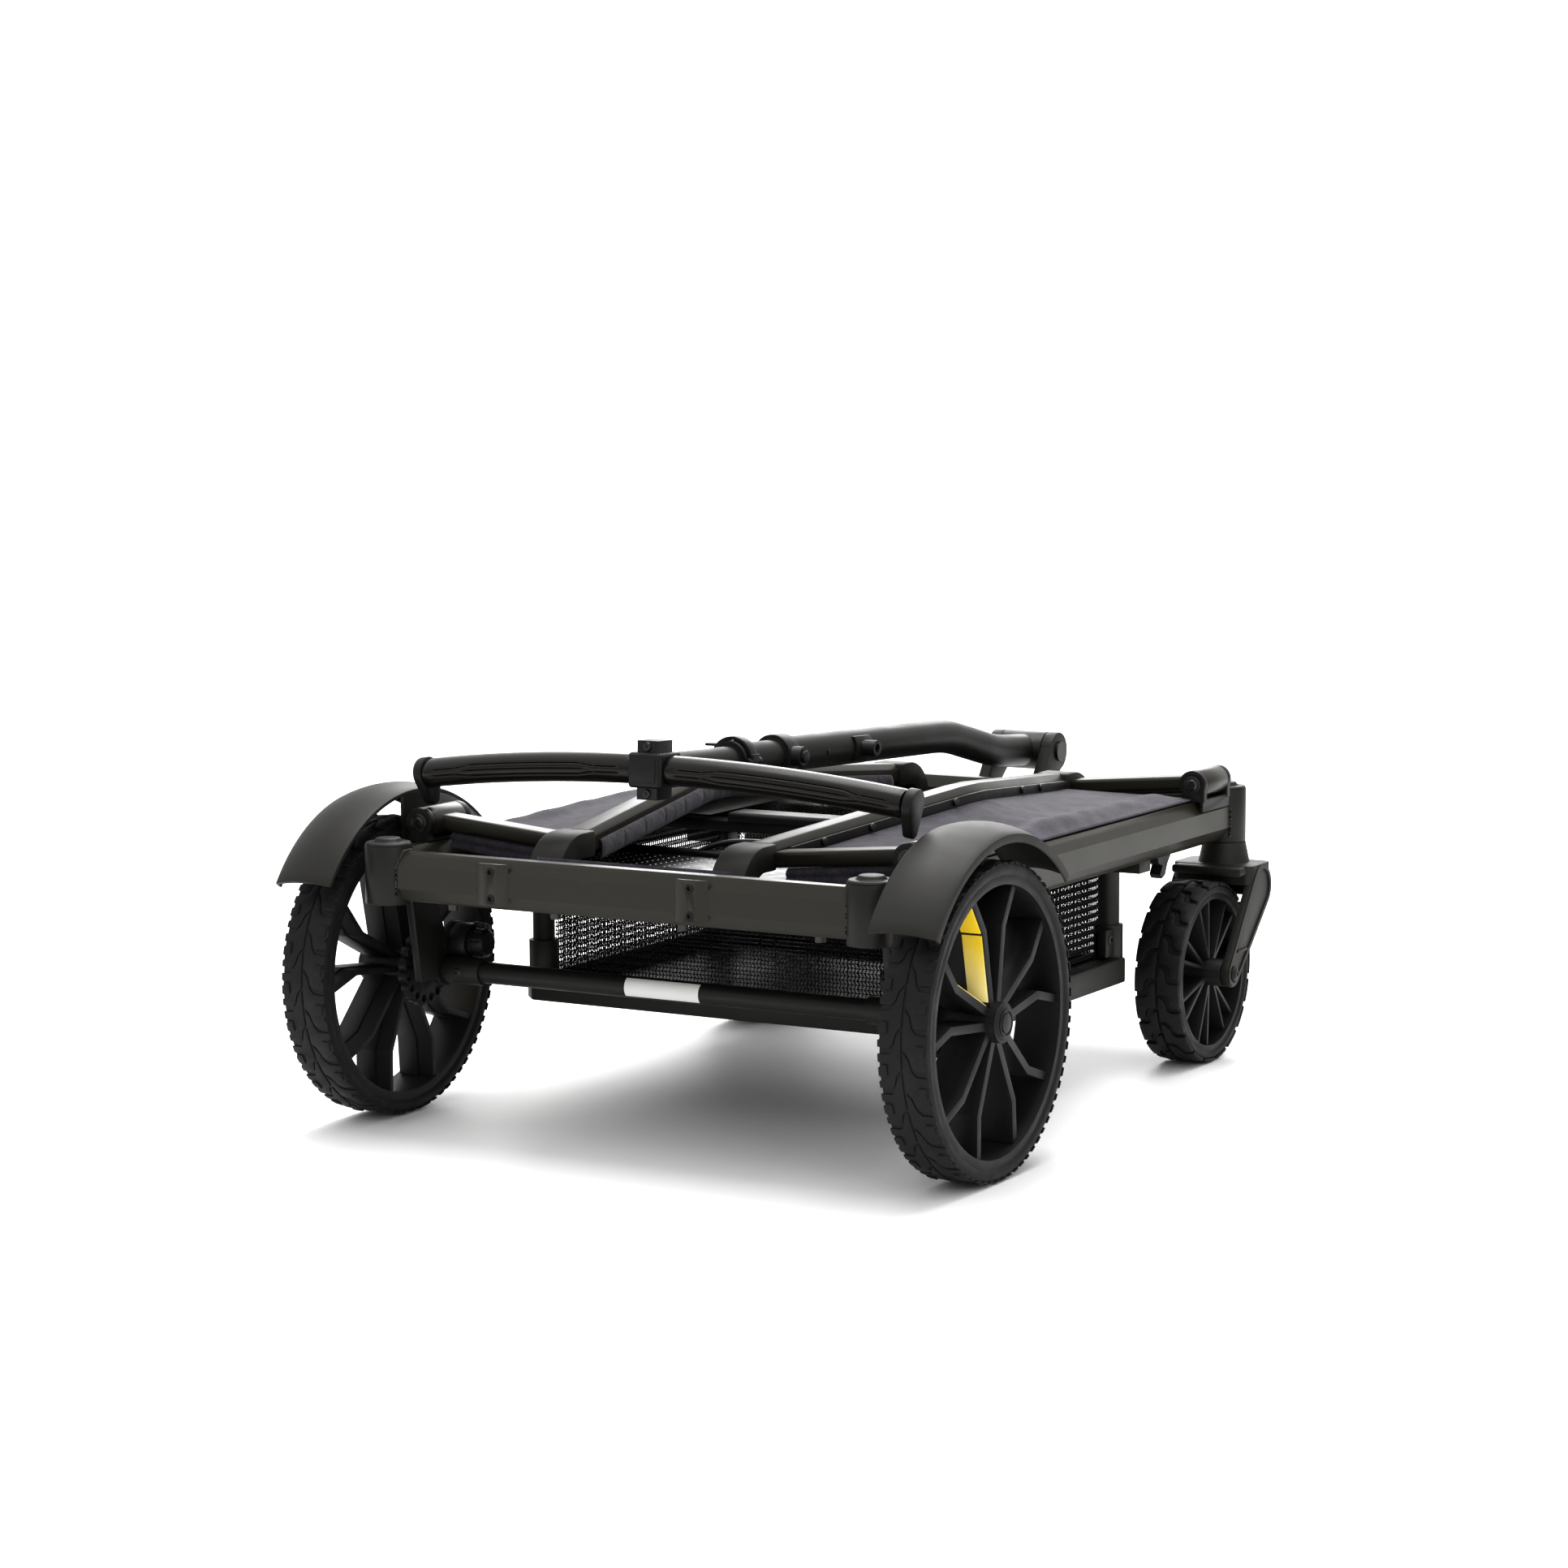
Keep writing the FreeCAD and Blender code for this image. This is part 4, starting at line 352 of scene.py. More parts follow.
# %% The frame's rails, sleeves and brackets
for node, material, width in (
        ("side_rails", powder_coat, 0.8), ("rear_cross_rail", powder_coat, 0.8), ("front_cross_rail", powder_coat, 0.8),
        ("corner_sleeves", steel_coat, 0.6), ("corner_caps", nylon, 0.8), ("wall_hinge_brackets", nylon, 1.0),
        ("handle_hinge_base", polypropylene, 1.2), ("axle_brackets", steel_coat, 0.6), ("brake_housings", nylon, 0.8),
        ("fenders", polypropylene, 0.9), ("footwell_frame", polypropylene, 1.5), ("footwell_legs", polypropylene, 0.8),
        ("fold_cross_bar", nylon, 0.8), ("fold_grip_plate", nylon, 0.6), ("right_brake_plunger", nylon, 0.5),
        ("left_brake_plunger", nylon, 0.5)):
    rounded(node, material, width)

# %% The walls' hard parts
for side in ("right", "left"):
    for part, material, width in (("top_rail", powder_coat, 0.8), ("rail_channel", nylon, 0.5),
                                  ("rail_elbows", polypropylene, 2.0), ("wall_posts", powder_coat, 0.6),
                                  ("rail_screws", black_zinc, 0.6)):
        rounded(side + "_" + part, material, width)

# %% The handle's hard parts
for node, material, width in (
        ("handle_outer_tube", steel_coat, 0.6), ("handle_collar", nylon, 0.7), ("accessory_socket", nylon, 0.6),
        ("collar_button", nylon, 0.6), ("handle_middle_tube", steel_coat, 0.4), ("lever_collar", nylon, 0.6),
        ("clamp_lever", nylon, 0.5), ("handle_inner_tube", steel_coat, 0.4), ("t_block", nylon, 1.2),
        ("grip_bar", steel_coat, 0.4), ("grip_end_caps", nylon, 1.6)):
    rounded(node, material, width)

# %% The wheels' hard parts
for side in ("right", "left"):
    for part, material, width in (("wheel_rim", wheel_nylon, 0.8), ("wheel_hub_fittings", nylon, 0.6),
                                  ("wheel_accent_liner", yellow_abs, 0.25), ("caster_fork", polypropylene, 1.5),
                                  ("caster_rim", wheel_nylon, 0.5)):
        rounded(side + "_" + part, material, width)

# %% CAD nodes that keep their own mesh
for node, material in (("frame_fasteners", black_zinc), ("rear_axle_tube", steel_coat), ("axle_label", label_film_and_highlight_paint)):
    mesh = frame["nodes"][node].data
    mesh.materials.clear()
    mesh.materials.append(material)
    print(node, "keeps its mesh")

# %% [markdown]
# ## Tyre treads
# A tyre is a carcass, which is a closed profile spun about the axle, with rubber lugs standing on it. One lug
# is drawn flat, as an outline in millimetres across and around the tyre, pushed up and given soft edges, and
# then wrapped on to the wheel's radius. Copies of the lugs are spun right round.

# %% One lug, drawn flat and wrapped on to the tyre
TREAD_HALF_WIDTH = 22.4
LUG_CUT_MM = 9.0                # a lug is cut across about this often, so that it can bend


def add_lug(bm, outline, base_r, top_r, shoulder_drop, soft):
    """outline holds (across, around) corners in millimetres."""
    lug = bmesh.new()
    face = lug.faces.new([lug.verts.new((across, around, 0)) for across, around in outline])
    if face.normal.z < 0 or face.calc_center_median().z < 0:
        face.normal_flip()
    top = push_out(lug, [face], (0, 0, top_r - base_r))
    bmesh.ops.recalc_face_normals(lug, faces=lug.faces)
    soften(lug, [edge for edge in lug.edges if any(v in top for v in edge.verts)], soft)
    lowest = min(v.co.y for v in lug.verts)
    highest = max(v.co.y for v in lug.verts)
    cuts = max(1, int((highest - lowest) / LUG_CUT_MM))
    for step in range(1, cuts + 1):
        level = lowest + (highest - lowest) * step / (cuts + 1)
        bmesh.ops.bisect_plane(lug, geom=lug.verts[:] + lug.edges[:] + lug.faces[:], plane_co=(0, level, 0),
                               plane_no=(0, 1, 0))
    for vert in lug.verts:
        across, around, height = vert.co
        share = min(1.0, abs(across) / TREAD_HALF_WIDTH)
        r = base_r + height - shoulder_drop * share ** 4 * (height / max(0.1, top_r - base_r))
        angle = around / top_r
        vert.co = (across, r * math.sin(angle), r * math.cos(angle))
    absorb(bm, lug)


def spin_copies(bm, count):
    bmesh.ops.spin(bm, geom=bm.verts[:] + bm.edges[:] + bm.faces[:], cent=(0, 0, 0), axis=(1, 0, 0), dvec=(0, 0, 0),
                   angle=2 * math.pi * (count - 1) / count, steps=count - 1, use_duplicate=True, use_merge=False)


def spun_profile(profile, steps):
    """A closed (across, radius) profile, spun right round the axle."""
    bm = bmesh.new()
    verts = [bm.verts.new((across, 0, radius)) for across, radius in profile]
    edges = [bm.edges.new((a, b)) for a, b in zip(verts, verts[1:] + verts[:1])]
    bmesh.ops.spin(bm, geom=verts + edges, cent=(0, 0, 0), axis=(1, 0, 0), dvec=(0, 0, 0), angle=2 * math.pi,
                   steps=steps, use_merge=True, use_duplicate=False)
    bmesh.ops.remove_doubles(bm, verts=bm.verts, dist=0.001)
    bmesh.ops.recalc_face_normals(bm, faces=bm.faces)
    return bm


def on_wheel(bm, node, mirror):
    """Moves a wheel drawn round the origin to the middle of a CAD tyre."""
    low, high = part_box(node)
    if mirror:
        bmesh.ops.scale(bm, verts=bm.verts, vec=(-1, 1, 1))
        bmesh.ops.reverse_faces(bm, faces=bm.faces)
    to_metres(bm)
    bmesh.ops.translate(bm, verts=bm.verts, vec=(low + high) / 2)


def treaded_tyre(side, part, lugs, pitch, pitches, carcass_profile, steps):
    """Each (outline, base_r, top_r, shoulder_drop, soft) lug stands on both halves, half a pitch apart."""
    node = side + "_" + part
    bm = bmesh.new()
    for shift, flip in ((0.0, 1), (pitch / 2, -1)):
        for outline, base_r, top_r, shoulder_drop, soft in lugs:
            corners = [(flip * across, around + shift) for across, around in outline]
            add_lug(bm, corners, base_r, top_r, shoulder_drop, soft)
    spin_copies(bm, pitches)
    absorb(bm, spun_profile(carcass_profile, steps))
    on_wheel(bm, node, side == "left")
    made = piece(bm, node + "_treaded", tyre_rubber, body_of_node[node])
    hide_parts(node)


# %% The rear tyres
REAR_R = 133.5
REAR_BASE_R = 131.2
REAR_PITCHES = 24
pitch = 2 * math.pi * REAR_R / REAR_PITCHES
REAR_CARCASS = [(-20.3, 120.5), (-21.8, 122.5), (-22.2, 127.0), (-20.8, 130.3), (-10.0, 131.2), (0.0, 131.4),
                (10.0, 131.2), (20.8, 130.3), (22.2, 127.0), (21.8, 122.5), (20.3, 120.5)]
GROOVE = 3.0                    # between one lug and the next, widening outwards by the slant
WING_SLANT = 0.13
WING_TOP = [(0.9, 30.0), (5.5, 24.0), (8.0, 15.0), (11.5, 10.5), (TREAD_HALF_WIDTH, 9.5)]
NOTCH_X = 20.4
SHOULDER_NOTCHES = [(TREAD_HALF_WIDTH, 3.0), (NOTCH_X, 2.4), (NOTCH_X, -1.2), (TREAD_HALF_WIDTH, -1.8),
                    (TREAD_HALF_WIDTH, -9.0), (NOTCH_X, -9.6), (NOTCH_X, -13.2), (TREAD_HALF_WIDTH, -13.8)]
wing_bottom = [(across, around - pitch + GROOVE + WING_SLANT * across) for across, around in reversed(WING_TOP)]
WING_LUG = WING_TOP + SHOULDER_NOTCHES + wing_bottom
SHOULDER_PAD = [(13.4, -8.0), (19.8, -8.0), (19.8, 1.5), (13.4, 1.5)]
REAR_LUGS = [(WING_LUG, REAR_BASE_R - 1.0, REAR_R - 1.1, 0.9, 0.6), (SHOULDER_PAD, REAR_R - 3.0, REAR_R, 1.2, 0.5)]
for side in ("right", "left"):
    treaded_tyre(side, "wheel_tyre", REAR_LUGS, pitch, REAR_PITCHES, REAR_CARCASS, 96)

# %% The caster tyres
CASTER_R = 86.5
CASTER_BASE_R = 83.4
CASTER_PITCHES = 19
pitch = 2 * math.pi * CASTER_R / CASTER_PITCHES
CASTER_CARCASS = [(-20.5, 75.6), (-22.0, 77.5), (-22.2, 81.0), (-20.6, 82.8), (-10.0, 83.4), (0.0, 83.6),
                  (10.0, 83.4), (20.6, 82.8), (22.2, 81.0), (22.0, 77.5), (20.5, 75.6)]
HOOK_TOP = [(1.0, 23.0), (5.0, 21.5), (8.2, 17.0), (9.4, 9.0), (13.0, 7.0), (TREAD_HALF_WIDTH, 7.0)]
HOOK_BOTTOM = [(TREAD_HALF_WIDTH, -16.5), (15.5, -16.0), (13.2, -13.0), (12.4, -6.5), (9.8, -3.5), (5.5, -2.6),
               (1.0, -2.2)]
HOOK_LUGS = [(HOOK_TOP + HOOK_BOTTOM, CASTER_BASE_R - 1.0, CASTER_R, 1.2, 0.9)]
for side in ("right", "left"):
    treaded_tyre(side, "caster_tyre", HOOK_LUGS, pitch, CASTER_PITCHES, CASTER_CARCASS, 80)

# %% [markdown]
# ## Handle grips
# Each grip is an oval rubber sleeve on the curved bar, with long grooves that run its length and pinch
# together near both ends. It starts as a flat grid, which is rolled round the bar's arc, and the grooves are
# pressed in as it is rolled.

# %% The bar's arc, read from the CAD grips
BAR_HALF = 240.0
BAR_DROOP = 17.5
BAR_SWEEP = 10.0
block_low, block_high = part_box("t_block")
bar_middle = Vector((0, (block_low.y + block_high.y) / 2, (block_low.z + block_high.z) / 2)) * 1000
drop = math.hypot(BAR_DROOP, BAR_SWEEP)
arc_r = (BAR_HALF ** 2 + drop ** 2) / (2 * drop)
lean = Vector((0, BAR_SWEEP, -BAR_DROOP)).normalized()


def bar_point(share):
    angle = share * math.asin(BAR_HALF / arc_r)
    return bar_middle + Vector((arc_r * math.sin(angle), 0, 0)) + lean * arc_r * (1 - math.cos(angle))


print("bar middle", [round(c, 1) for c in bar_middle], "arc radius %.0f mm" % arc_r)

# %% Grips with pressed grooves
GROOVE_DEPTH = 1.7
GROOVE_RUN = 0.05, 0.95         # shares of the grip's length between which the outer grooves run
PINCH_END, PINCH_SPAN = 0.16, 0.09
PINCHED_DEG, SPREAD_DEG = 13, 11
OUTER_WIDTH_DEG, MIDDLE_WIDTH_DEG = 2.6, 2.4
MIDDLE_SHARE = 0.8


def groove_depth(angle, share):
    """How deep the rubber is pressed at an angle from straight back, at a share of the grip's length."""
    ramp = min(1.0, max(0.0, (0.5 - abs(share - 0.5) - PINCH_END) / PINCH_SPAN))
    smooth = ramp * ramp * (3 - 2 * ramp)
    lines = [math.radians(-PINCHED_DEG - SPREAD_DEG * smooth), math.radians(PINCHED_DEG + SPREAD_DEG * smooth)]
    depth = 0.0
    if GROOVE_RUN[0] < share < GROOVE_RUN[1]:
        for line in lines:
            depth = max(depth, math.exp(-((angle - line) / math.radians(OUTER_WIDTH_DEG)) ** 2))
        depth = max(depth, MIDDLE_SHARE * smooth * math.exp(-(angle / math.radians(MIDDLE_WIDTH_DEG)) ** 2))
    return GROOVE_DEPTH * depth


GRIP_HALF_HEIGHT = 12.8
GRIP_HALF_DEPTH = 15.0
GRIP_START, GRIP_STOP = 16.7 / BAR_HALF, 0.983
END_ROUND = 0.012               # share of the length over which each end rounds over
END_SIZE, END_GROWTH = 0.93, 0.07
for side, name in ((1, "grip_right"), (-1, "grip_left")):
    bm = bmesh.new()
    bmesh.ops.create_grid(bm, x_segments=90, y_segments=120, size=0.5)
    for vert in bm.verts:
        share = vert.co.x + 0.5
        angle = vert.co.y * 2 * math.pi
        centre = bar_point(side * (GRIP_START + (GRIP_STOP - GRIP_START) * share))
        end_round = min(1.0, min(share, 1 - share) / END_ROUND)
        swell = END_SIZE + END_GROWTH * math.sqrt(max(0.0, 1 - (1 - end_round) ** 2))
        pressed = groove_depth(angle, share)
        back = -(GRIP_HALF_DEPTH * swell - pressed) * math.cos(angle)
        up = (GRIP_HALF_HEIGHT * swell - pressed) * math.sin(angle)
        vert.co = centre + Vector((0, back, up))
    bmesh.ops.remove_doubles(bm, verts=bm.verts, dist=0.01)
    bmesh.ops.holes_fill(bm, edges=[edge for edge in bm.edges if edge.is_boundary], sides=0)
    bmesh.ops.recalc_face_normals(bm, faces=bm.faces)
    to_metres(bm)
    made = piece(bm, name, grip_rubber, "handle_top", 60.0)
    if side > 0:
        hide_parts("grips")

# %% [markdown]
# ## Cloth walls
# Each wall is a panel of heather canvas, cut to shape, clamped under the channel of the top rail and fixed
# along the side rail. Canvas held along two edges bellies between them, with long shallow waves. It is made
# from a flat grid laid on the two edges, shaped, and given a cloth's thickness.

# %% Where the wall's top rail runs
RAIL_END_X, RAIL_MID_X = 90.0, 133.0
RAIL_END_TOP, RAIL_MID_TOP = 267.5, 289.0
RAIL_START, JOG_START, JOG_STOP, RAIL_STOP = 76.0, 346.0, 378.0, 636.0


def wall_rail(d):
    if d <= JOG_START:
        share = (d - RAIL_START) / (JOG_START - RAIL_START)
    elif d >= JOG_STOP:
        share = (RAIL_STOP - d) / (RAIL_STOP - JOG_STOP)
    else:
        share = 1.0
    return RAIL_END_X + share * (RAIL_MID_X - RAIL_END_X), RAIL_END_TOP + share * (RAIL_MID_TOP - RAIL_END_TOP)


# %% A wall panel
CLOTH_THICK_M = 0.0012
PANEL_START, PANEL_STOP = 97.0, 633.0
PANEL_IN, PANEL_DROP = 16.0, 15.5           # inner edge from the rail's middle and below its top
OUTER_X, OUTER_Z = 241.0, 250.8             # outer edge, on the side rail
ROLL_HEIGHT, ROLL_AT, ROLL_WIDTH = 7.0, 0.8, 0.13
FLAT_ENDS = 0.06                            # share of the length over which each end goes flat


def cloth_piece(bm, name, body):
    place(bm)
    made = piece(bm, name, cloth, body, 80.0)
    thicken(made, CLOTH_THICK_M)
    return made


for side_name, side in SIDES:
    bm = bmesh.new()
    bmesh.ops.create_grid(bm, x_segments=36, y_segments=160, size=0.5)
    for vert in bm.verts:
        across = vert.co.x + 0.5
        along = vert.co.y + 0.5
        d = PANEL_START + along * (PANEL_STOP - PANEL_START)
        rail_x, rail_top = wall_rail(d)
        inner = Vector((rail_x + PANEL_IN, d, rail_top - PANEL_DROP))
        outer = Vector((OUTER_X, d, OUTER_Z))
        spot = inner.lerp(outer, across)
        belly = math.sin(math.pi * across) ** 0.8
        roll = math.exp(-((across - ROLL_AT) / ROLL_WIDTH) ** 2)
        ends = min(1.0, min(along, 1 - along) / FLAT_ENDS)
        wave = noise.noise(Vector((across * 1.6, along * 5.0, 3.0 * side)))
        ripple = noise.noise(Vector((across * 5.0, along * 16.0, 9.0 * side)))
        lift = belly * (2.2 * wave + 0.7 * ripple - 1.0) + roll * (ROLL_HEIGHT + 1.0 * ripple)
        spot.z += lift * ends + 0.8 * (1 - ends)
        vert.co = Vector((side * spot.x, spot.y, spot.z))
    cut_area = sum(face.calc_area() for face in bm.faces) / 1e6
    if bm.faces[:][0].normal.z < 0:
        bmesh.ops.reverse_faces(bm, faces=bm.faces)
    made = cloth_piece(bm, side_name + "_wall_panel", side_name + "_wall")
    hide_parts(side_name + "_side_panel")
    print(made.name, "area %.4f m2" % cut_area)

# %% [markdown]
# ## Stitched bands on the top rails
# The wall's cloth is hemmed round the top rail and shows as a narrow padded band on the rail's free side,
# sewn across every few centimetres. It is a strip bulged between its seams.

# %% Hem bands
BAND_TOP_DROP, BAND_HEIGHT, BAND_BULGE = 11.0, 17.0, 2.6
SEAM_PITCH = 46.0
BAND_END_GAP = 14.0             # bare rail at each end
BAND_IN = 13.7                  # band's flat face from the rail's middle
for side_name, side in SIDES:
    bm = bmesh.new()
    bmesh.ops.create_grid(bm, x_segments=14, y_segments=220, size=0.5)
    for vert in bm.verts:
        up = vert.co.x + 0.5
        along = vert.co.y + 0.5
        d = RAIL_START + BAND_END_GAP + along * (RAIL_STOP - RAIL_START - 2 * BAND_END_GAP)
        rail_x, rail_top = wall_rail(d)
        seam = abs(((d / SEAM_PITCH) % 1.0) - 0.5) * 2
        puff = BAND_BULGE * math.sin(math.pi * up) ** 0.6 * (1 - 0.4 * math.exp(-((1 - seam) / 0.05) ** 2))
        puff += 0.35 * noise.noise(Vector((d / 9.0, up * 3.0, 4.0)))
        x = rail_x - BAND_IN - max(0.0, puff)
        vert.co = Vector((side * x, d, rail_top - BAND_TOP_DROP - BAND_HEIGHT * (1 - up)))
    band_area = sum(face.calc_area() for face in bm.faces) / 1e6
    made = cloth_piece(bm, side_name + "_hem_band", side_name + "_wall")
    print(made.name, "area %.4f m2" % band_area)

# %% [markdown]
# ## The footwell net
# The footwell hangs in a basket of black polyester net. Light shows through a net, so its holes are real: a
# grid is laid on each wall, every cell is inset, and the inner faces are taken out. The real holes are about
# 1.5 mm, which would be hundreds of thousands of cells, so they are drawn at 3.6 mm.

# %% Net walls and base
NET_PITCH = 3.6
NET_THICK_M = 0.0007
YARN_SHARE = 0.33               # width of the yarn left round a hole, in pitches
NET_HALF_X, NET_REAR, NET_FRONT = 202.8, 197.2, 514.8
NET_BOTTOM, NET_TOP, NET_CUT = 97.0, 220.5, 13.0


def net(name, corner, along, up):
    """A net stretched over the rectangle from corner along two directions, in millimetres."""
    columns = max(1, round(along.length / NET_PITCH))
    rows = max(1, round(up.length / NET_PITCH))
    bm = bmesh.new()
    bmesh.ops.create_grid(bm, x_segments=columns, y_segments=rows, size=0.5)
    for vert in bm.verts:
        u, v = vert.co.x + 0.5, vert.co.y + 0.5
        stagger = 0.25 if round(v * rows) % 2 else -0.25
        if 0.001 < u < 0.999:
            u += stagger / columns
        vert.co = corner + along * u + up * v
    inset = bmesh.ops.inset_individual(bm, faces=bm.faces[:], thickness=NET_PITCH * YARN_SHARE, use_even_offset=True)
    ring = set(inset["faces"])
    bmesh.ops.delete(bm, geom=[face for face in bm.faces if face not in ring], context="FACES")
    place(bm)
    made = piece(bm, name, net_yarn, "chassis", 80.0)
    thicken(made, NET_THICK_M)
    print(name, columns, "by", rows, "cells")
    return made


height = Vector((0, 0, NET_TOP - NET_BOTTOM))
span_x = 2 * (NET_HALF_X - NET_CUT)
span_y = NET_FRONT - NET_REAR - 2 * NET_CUT
rear_net = net("net_rear", Vector((-NET_HALF_X + NET_CUT, NET_REAR, NET_BOTTOM)), Vector((span_x, 0, 0)), height)
net("net_front", Vector((-NET_HALF_X + NET_CUT, NET_FRONT, NET_BOTTOM)), Vector((span_x, 0, 0)), height)
net("net_right", Vector((NET_HALF_X, NET_REAR + NET_CUT, NET_BOTTOM)), Vector((0, span_y, 0)), height)
net("net_left", Vector((-NET_HALF_X, NET_REAR + NET_CUT, NET_BOTTOM)), Vector((0, span_y, 0)), height)
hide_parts("footwell_mesh")

# %% The net's solid base
BASE_THICK = 2.0
bm = bmesh.new()
corners = [(-NET_HALF_X + NET_CUT, NET_REAR), (NET_HALF_X - NET_CUT, NET_REAR), (NET_HALF_X, NET_REAR + NET_CUT),
           (NET_HALF_X, NET_FRONT - NET_CUT), (NET_HALF_X - NET_CUT, NET_FRONT), (-NET_HALF_X + NET_CUT, NET_FRONT),
           (-NET_HALF_X, NET_FRONT - NET_CUT), (-NET_HALF_X, NET_REAR + NET_CUT)]
bm.faces.new([bm.verts.new((x, y, NET_BOTTOM)) for x, y in corners])
push_out(bm, bm.faces[:], (0, 0, BASE_THICK))
bmesh.ops.recalc_face_normals(bm, faces=bm.faces)
place(bm)
piece(bm, "footwell_base", board_skin, "chassis")

# %% [markdown]
# ## Floor boards
# The floor is two stiff boards under a glossy black skin, with rows of small pale dots on a slanted grid that are
# painted highlights, standing in for the specks of light on the board. Each dot is a low raised cone of a few faces,
# since there are hundreds.

# %% Boards with raised dots, painted white as highlights
rounded("floor_panels", board_skin, 1.2)
FLOOR_TOP = 224.0
DOT_ALONG, DOT_ACROSS = 7.0, 17.0
DOT_HALF_X, DOT_EDGE_X = 195.0, 205.0
DOT_SLANT = 0.18                # columns lean across the board by this much of their length
for name, start, stop in (("rear_board_highlight_dots", 20.0, 238.0), ("front_board_highlight_dots", 474.0, 692.0)):
    bm = bmesh.new()
    column = 0
    x = -DOT_HALF_X
    while x <= DOT_HALF_X:
        d = start + (DOT_ALONG / 2 if column % 2 else 0)
        while d <= stop:
            bmesh.ops.create_cone(bm, segments=6, radius1=0.8, radius2=0.4, depth=0.4, cap_ends=True,
                                  matrix=Matrix.Translation((x + DOT_SLANT * (d - start), d, FLOOR_TOP + 0.17)))
            d += DOT_ALONG
        x += DOT_ACROSS
        column += 1
    bmesh.ops.delete(bm, geom=[v for v in bm.verts if abs(v.co.x) > DOT_EDGE_X], context="VERTS")
    place(bm)
    # the dots' white is painted highlight, standing in for the specks of light on the black board
    piece(bm, name, label_film_and_highlight_paint, "chassis")

# %% [markdown]
# ## Small hard details
# Screws, weld beads, lips and wires are too small for the CAD model, but they are what the eye checks first.
# Four helpers draw them into one mesh: a rod along points, a soft block, a soft disc and a socket screw.

# %% Rods, blocks, discs and screws
def add_rod(bm, points, radius, sides=10):
    points = [Vector(point) for point in points]
    rings = []
    for index, point in enumerate(points):
        ahead = points[min(index + 1, len(points) - 1)] - points[max(index - 1, 0)]
        turn = ahead.to_track_quat("Z", "Y")
        angles = [2 * math.pi * step / sides for step in range(sides)]
        rings.append([bm.verts.new(point + turn @ Vector((radius * math.cos(a), radius * math.sin(a), 0)))
                      for a in angles])
    skin_tube(bm, rings)


def edges_of(verts):
    """Each edge of the verts once, in the same order on every run."""
    return list(dict.fromkeys(edge for vert in verts for edge in vert.link_edges))


def add_block(bm, low, high, soft):
    low, high = Vector(low), Vector(high)
    matrix = Matrix.Translation((low + high) / 2) @ Matrix.Diagonal((*(high - low), 1))
    made = bmesh.ops.create_cube(bm, size=1.0, matrix=matrix)
    soften(bm, edges_of(made["verts"]), soft)


def add_disc(bm, centre, normal, radius, height, soft=0.6, sides=40):
    normal = Vector(normal).normalized()
    turn = normal.to_track_quat("Z", "Y").to_matrix().to_4x4()
    matrix = Matrix.Translation(Vector(centre) + normal * height / 2) @ turn
    made = bmesh.ops.create_cone(bm, segments=sides, radius1=radius, radius2=radius, depth=height, cap_ends=True,
                                 matrix=matrix)
    soften(bm, [edge for edge in edges_of(made["verts"])
                if edge.is_manifold and edge.calc_face_angle(0.0) > 1.0], soft)


SCREW_SIDES = 24
# each ring's reach and level as shares of the head's radius and height, and whether it is six-sided
SCREW_RINGS = [(1.0, 0.0, False), (0.97, 0.5, False), (0.78, 1.0, False), (0.5, 1.0, True), (0.46, 0.25, True)]


def add_screw(bm, centre, normal, radius, height):
    """A button head with a six-sided socket pressed into it."""
    turn = Vector(normal).normalized().to_track_quat("Z", "Y")
    rings = []
    for reach, level, hexed in SCREW_RINGS:
        ring = []
        for step in range(SCREW_SIDES):
            angle = 2 * math.pi * step / SCREW_SIDES
            flat = math.cos(math.pi / 6) / math.cos(angle % (math.pi / 3) - math.pi / 6) if hexed else 1.0
            r = radius * reach * flat
            spot = Vector((r * math.cos(angle), r * math.sin(angle), height * level))
            ring.append(bm.verts.new(Vector(centre) + turn @ spot))
        rings.append(ring)
    skin_tube(bm, rings)


# %% [markdown]
# The corner sleeves are welded to the rails. A weld bead is a row of overlapping ripples, painted over, so it
# is a thin rod whose line wanders a little.

# %% Weld beads
FRAME_X, FRAME_D = 237.5, 712.0
BEAD_R, BEAD_STEP, BEAD_WANDER = 1.7, 1.6, 0.35
# (away from the sleeve's axis, across the rail, height), up one side of the rail and down the other
BEAD_PATH = [(16.2, 12.4, 209.0), (16.2, 12.4, 238.0), (19.6, 5.6, 249.4), (20.4, 0.0, 249.8), (19.6, -5.6, 249.4),
             (16.2, -12.4, 238.0), (16.2, -12.4, 209.0)]
bm = bmesh.new()
for corner_d, inward in ((0.0, 1), (FRAME_D, -1)):
    for side in (1, -1):
        for swap in (False, True):
            line = []
            for start, stop in zip(BEAD_PATH, BEAD_PATH[1:]):
                steps = max(2, int((Vector(stop) - Vector(start)).length / BEAD_STEP))
                for step in range(steps):
                    away, along, z = Vector(start).lerp(Vector(stop), step / steps)
                    away += random.uniform(-BEAD_WANDER, BEAD_WANDER)
                    if swap:
                        line.append((side * (FRAME_X - away), corner_d + along, z))
                    else:
                        line.append((side * (FRAME_X + along), corner_d + inward * away, z))
            add_rod(bm, line, BEAD_R, 8)
place(bm)
piece(bm, "weld_beads", powder_coat, "chassis", 60.0)

# %% [markdown]
# The mudguard ends in a narrow turned-down lip on its outer side, and small blocks hang below the side rails
# where the folding latch hooks on.

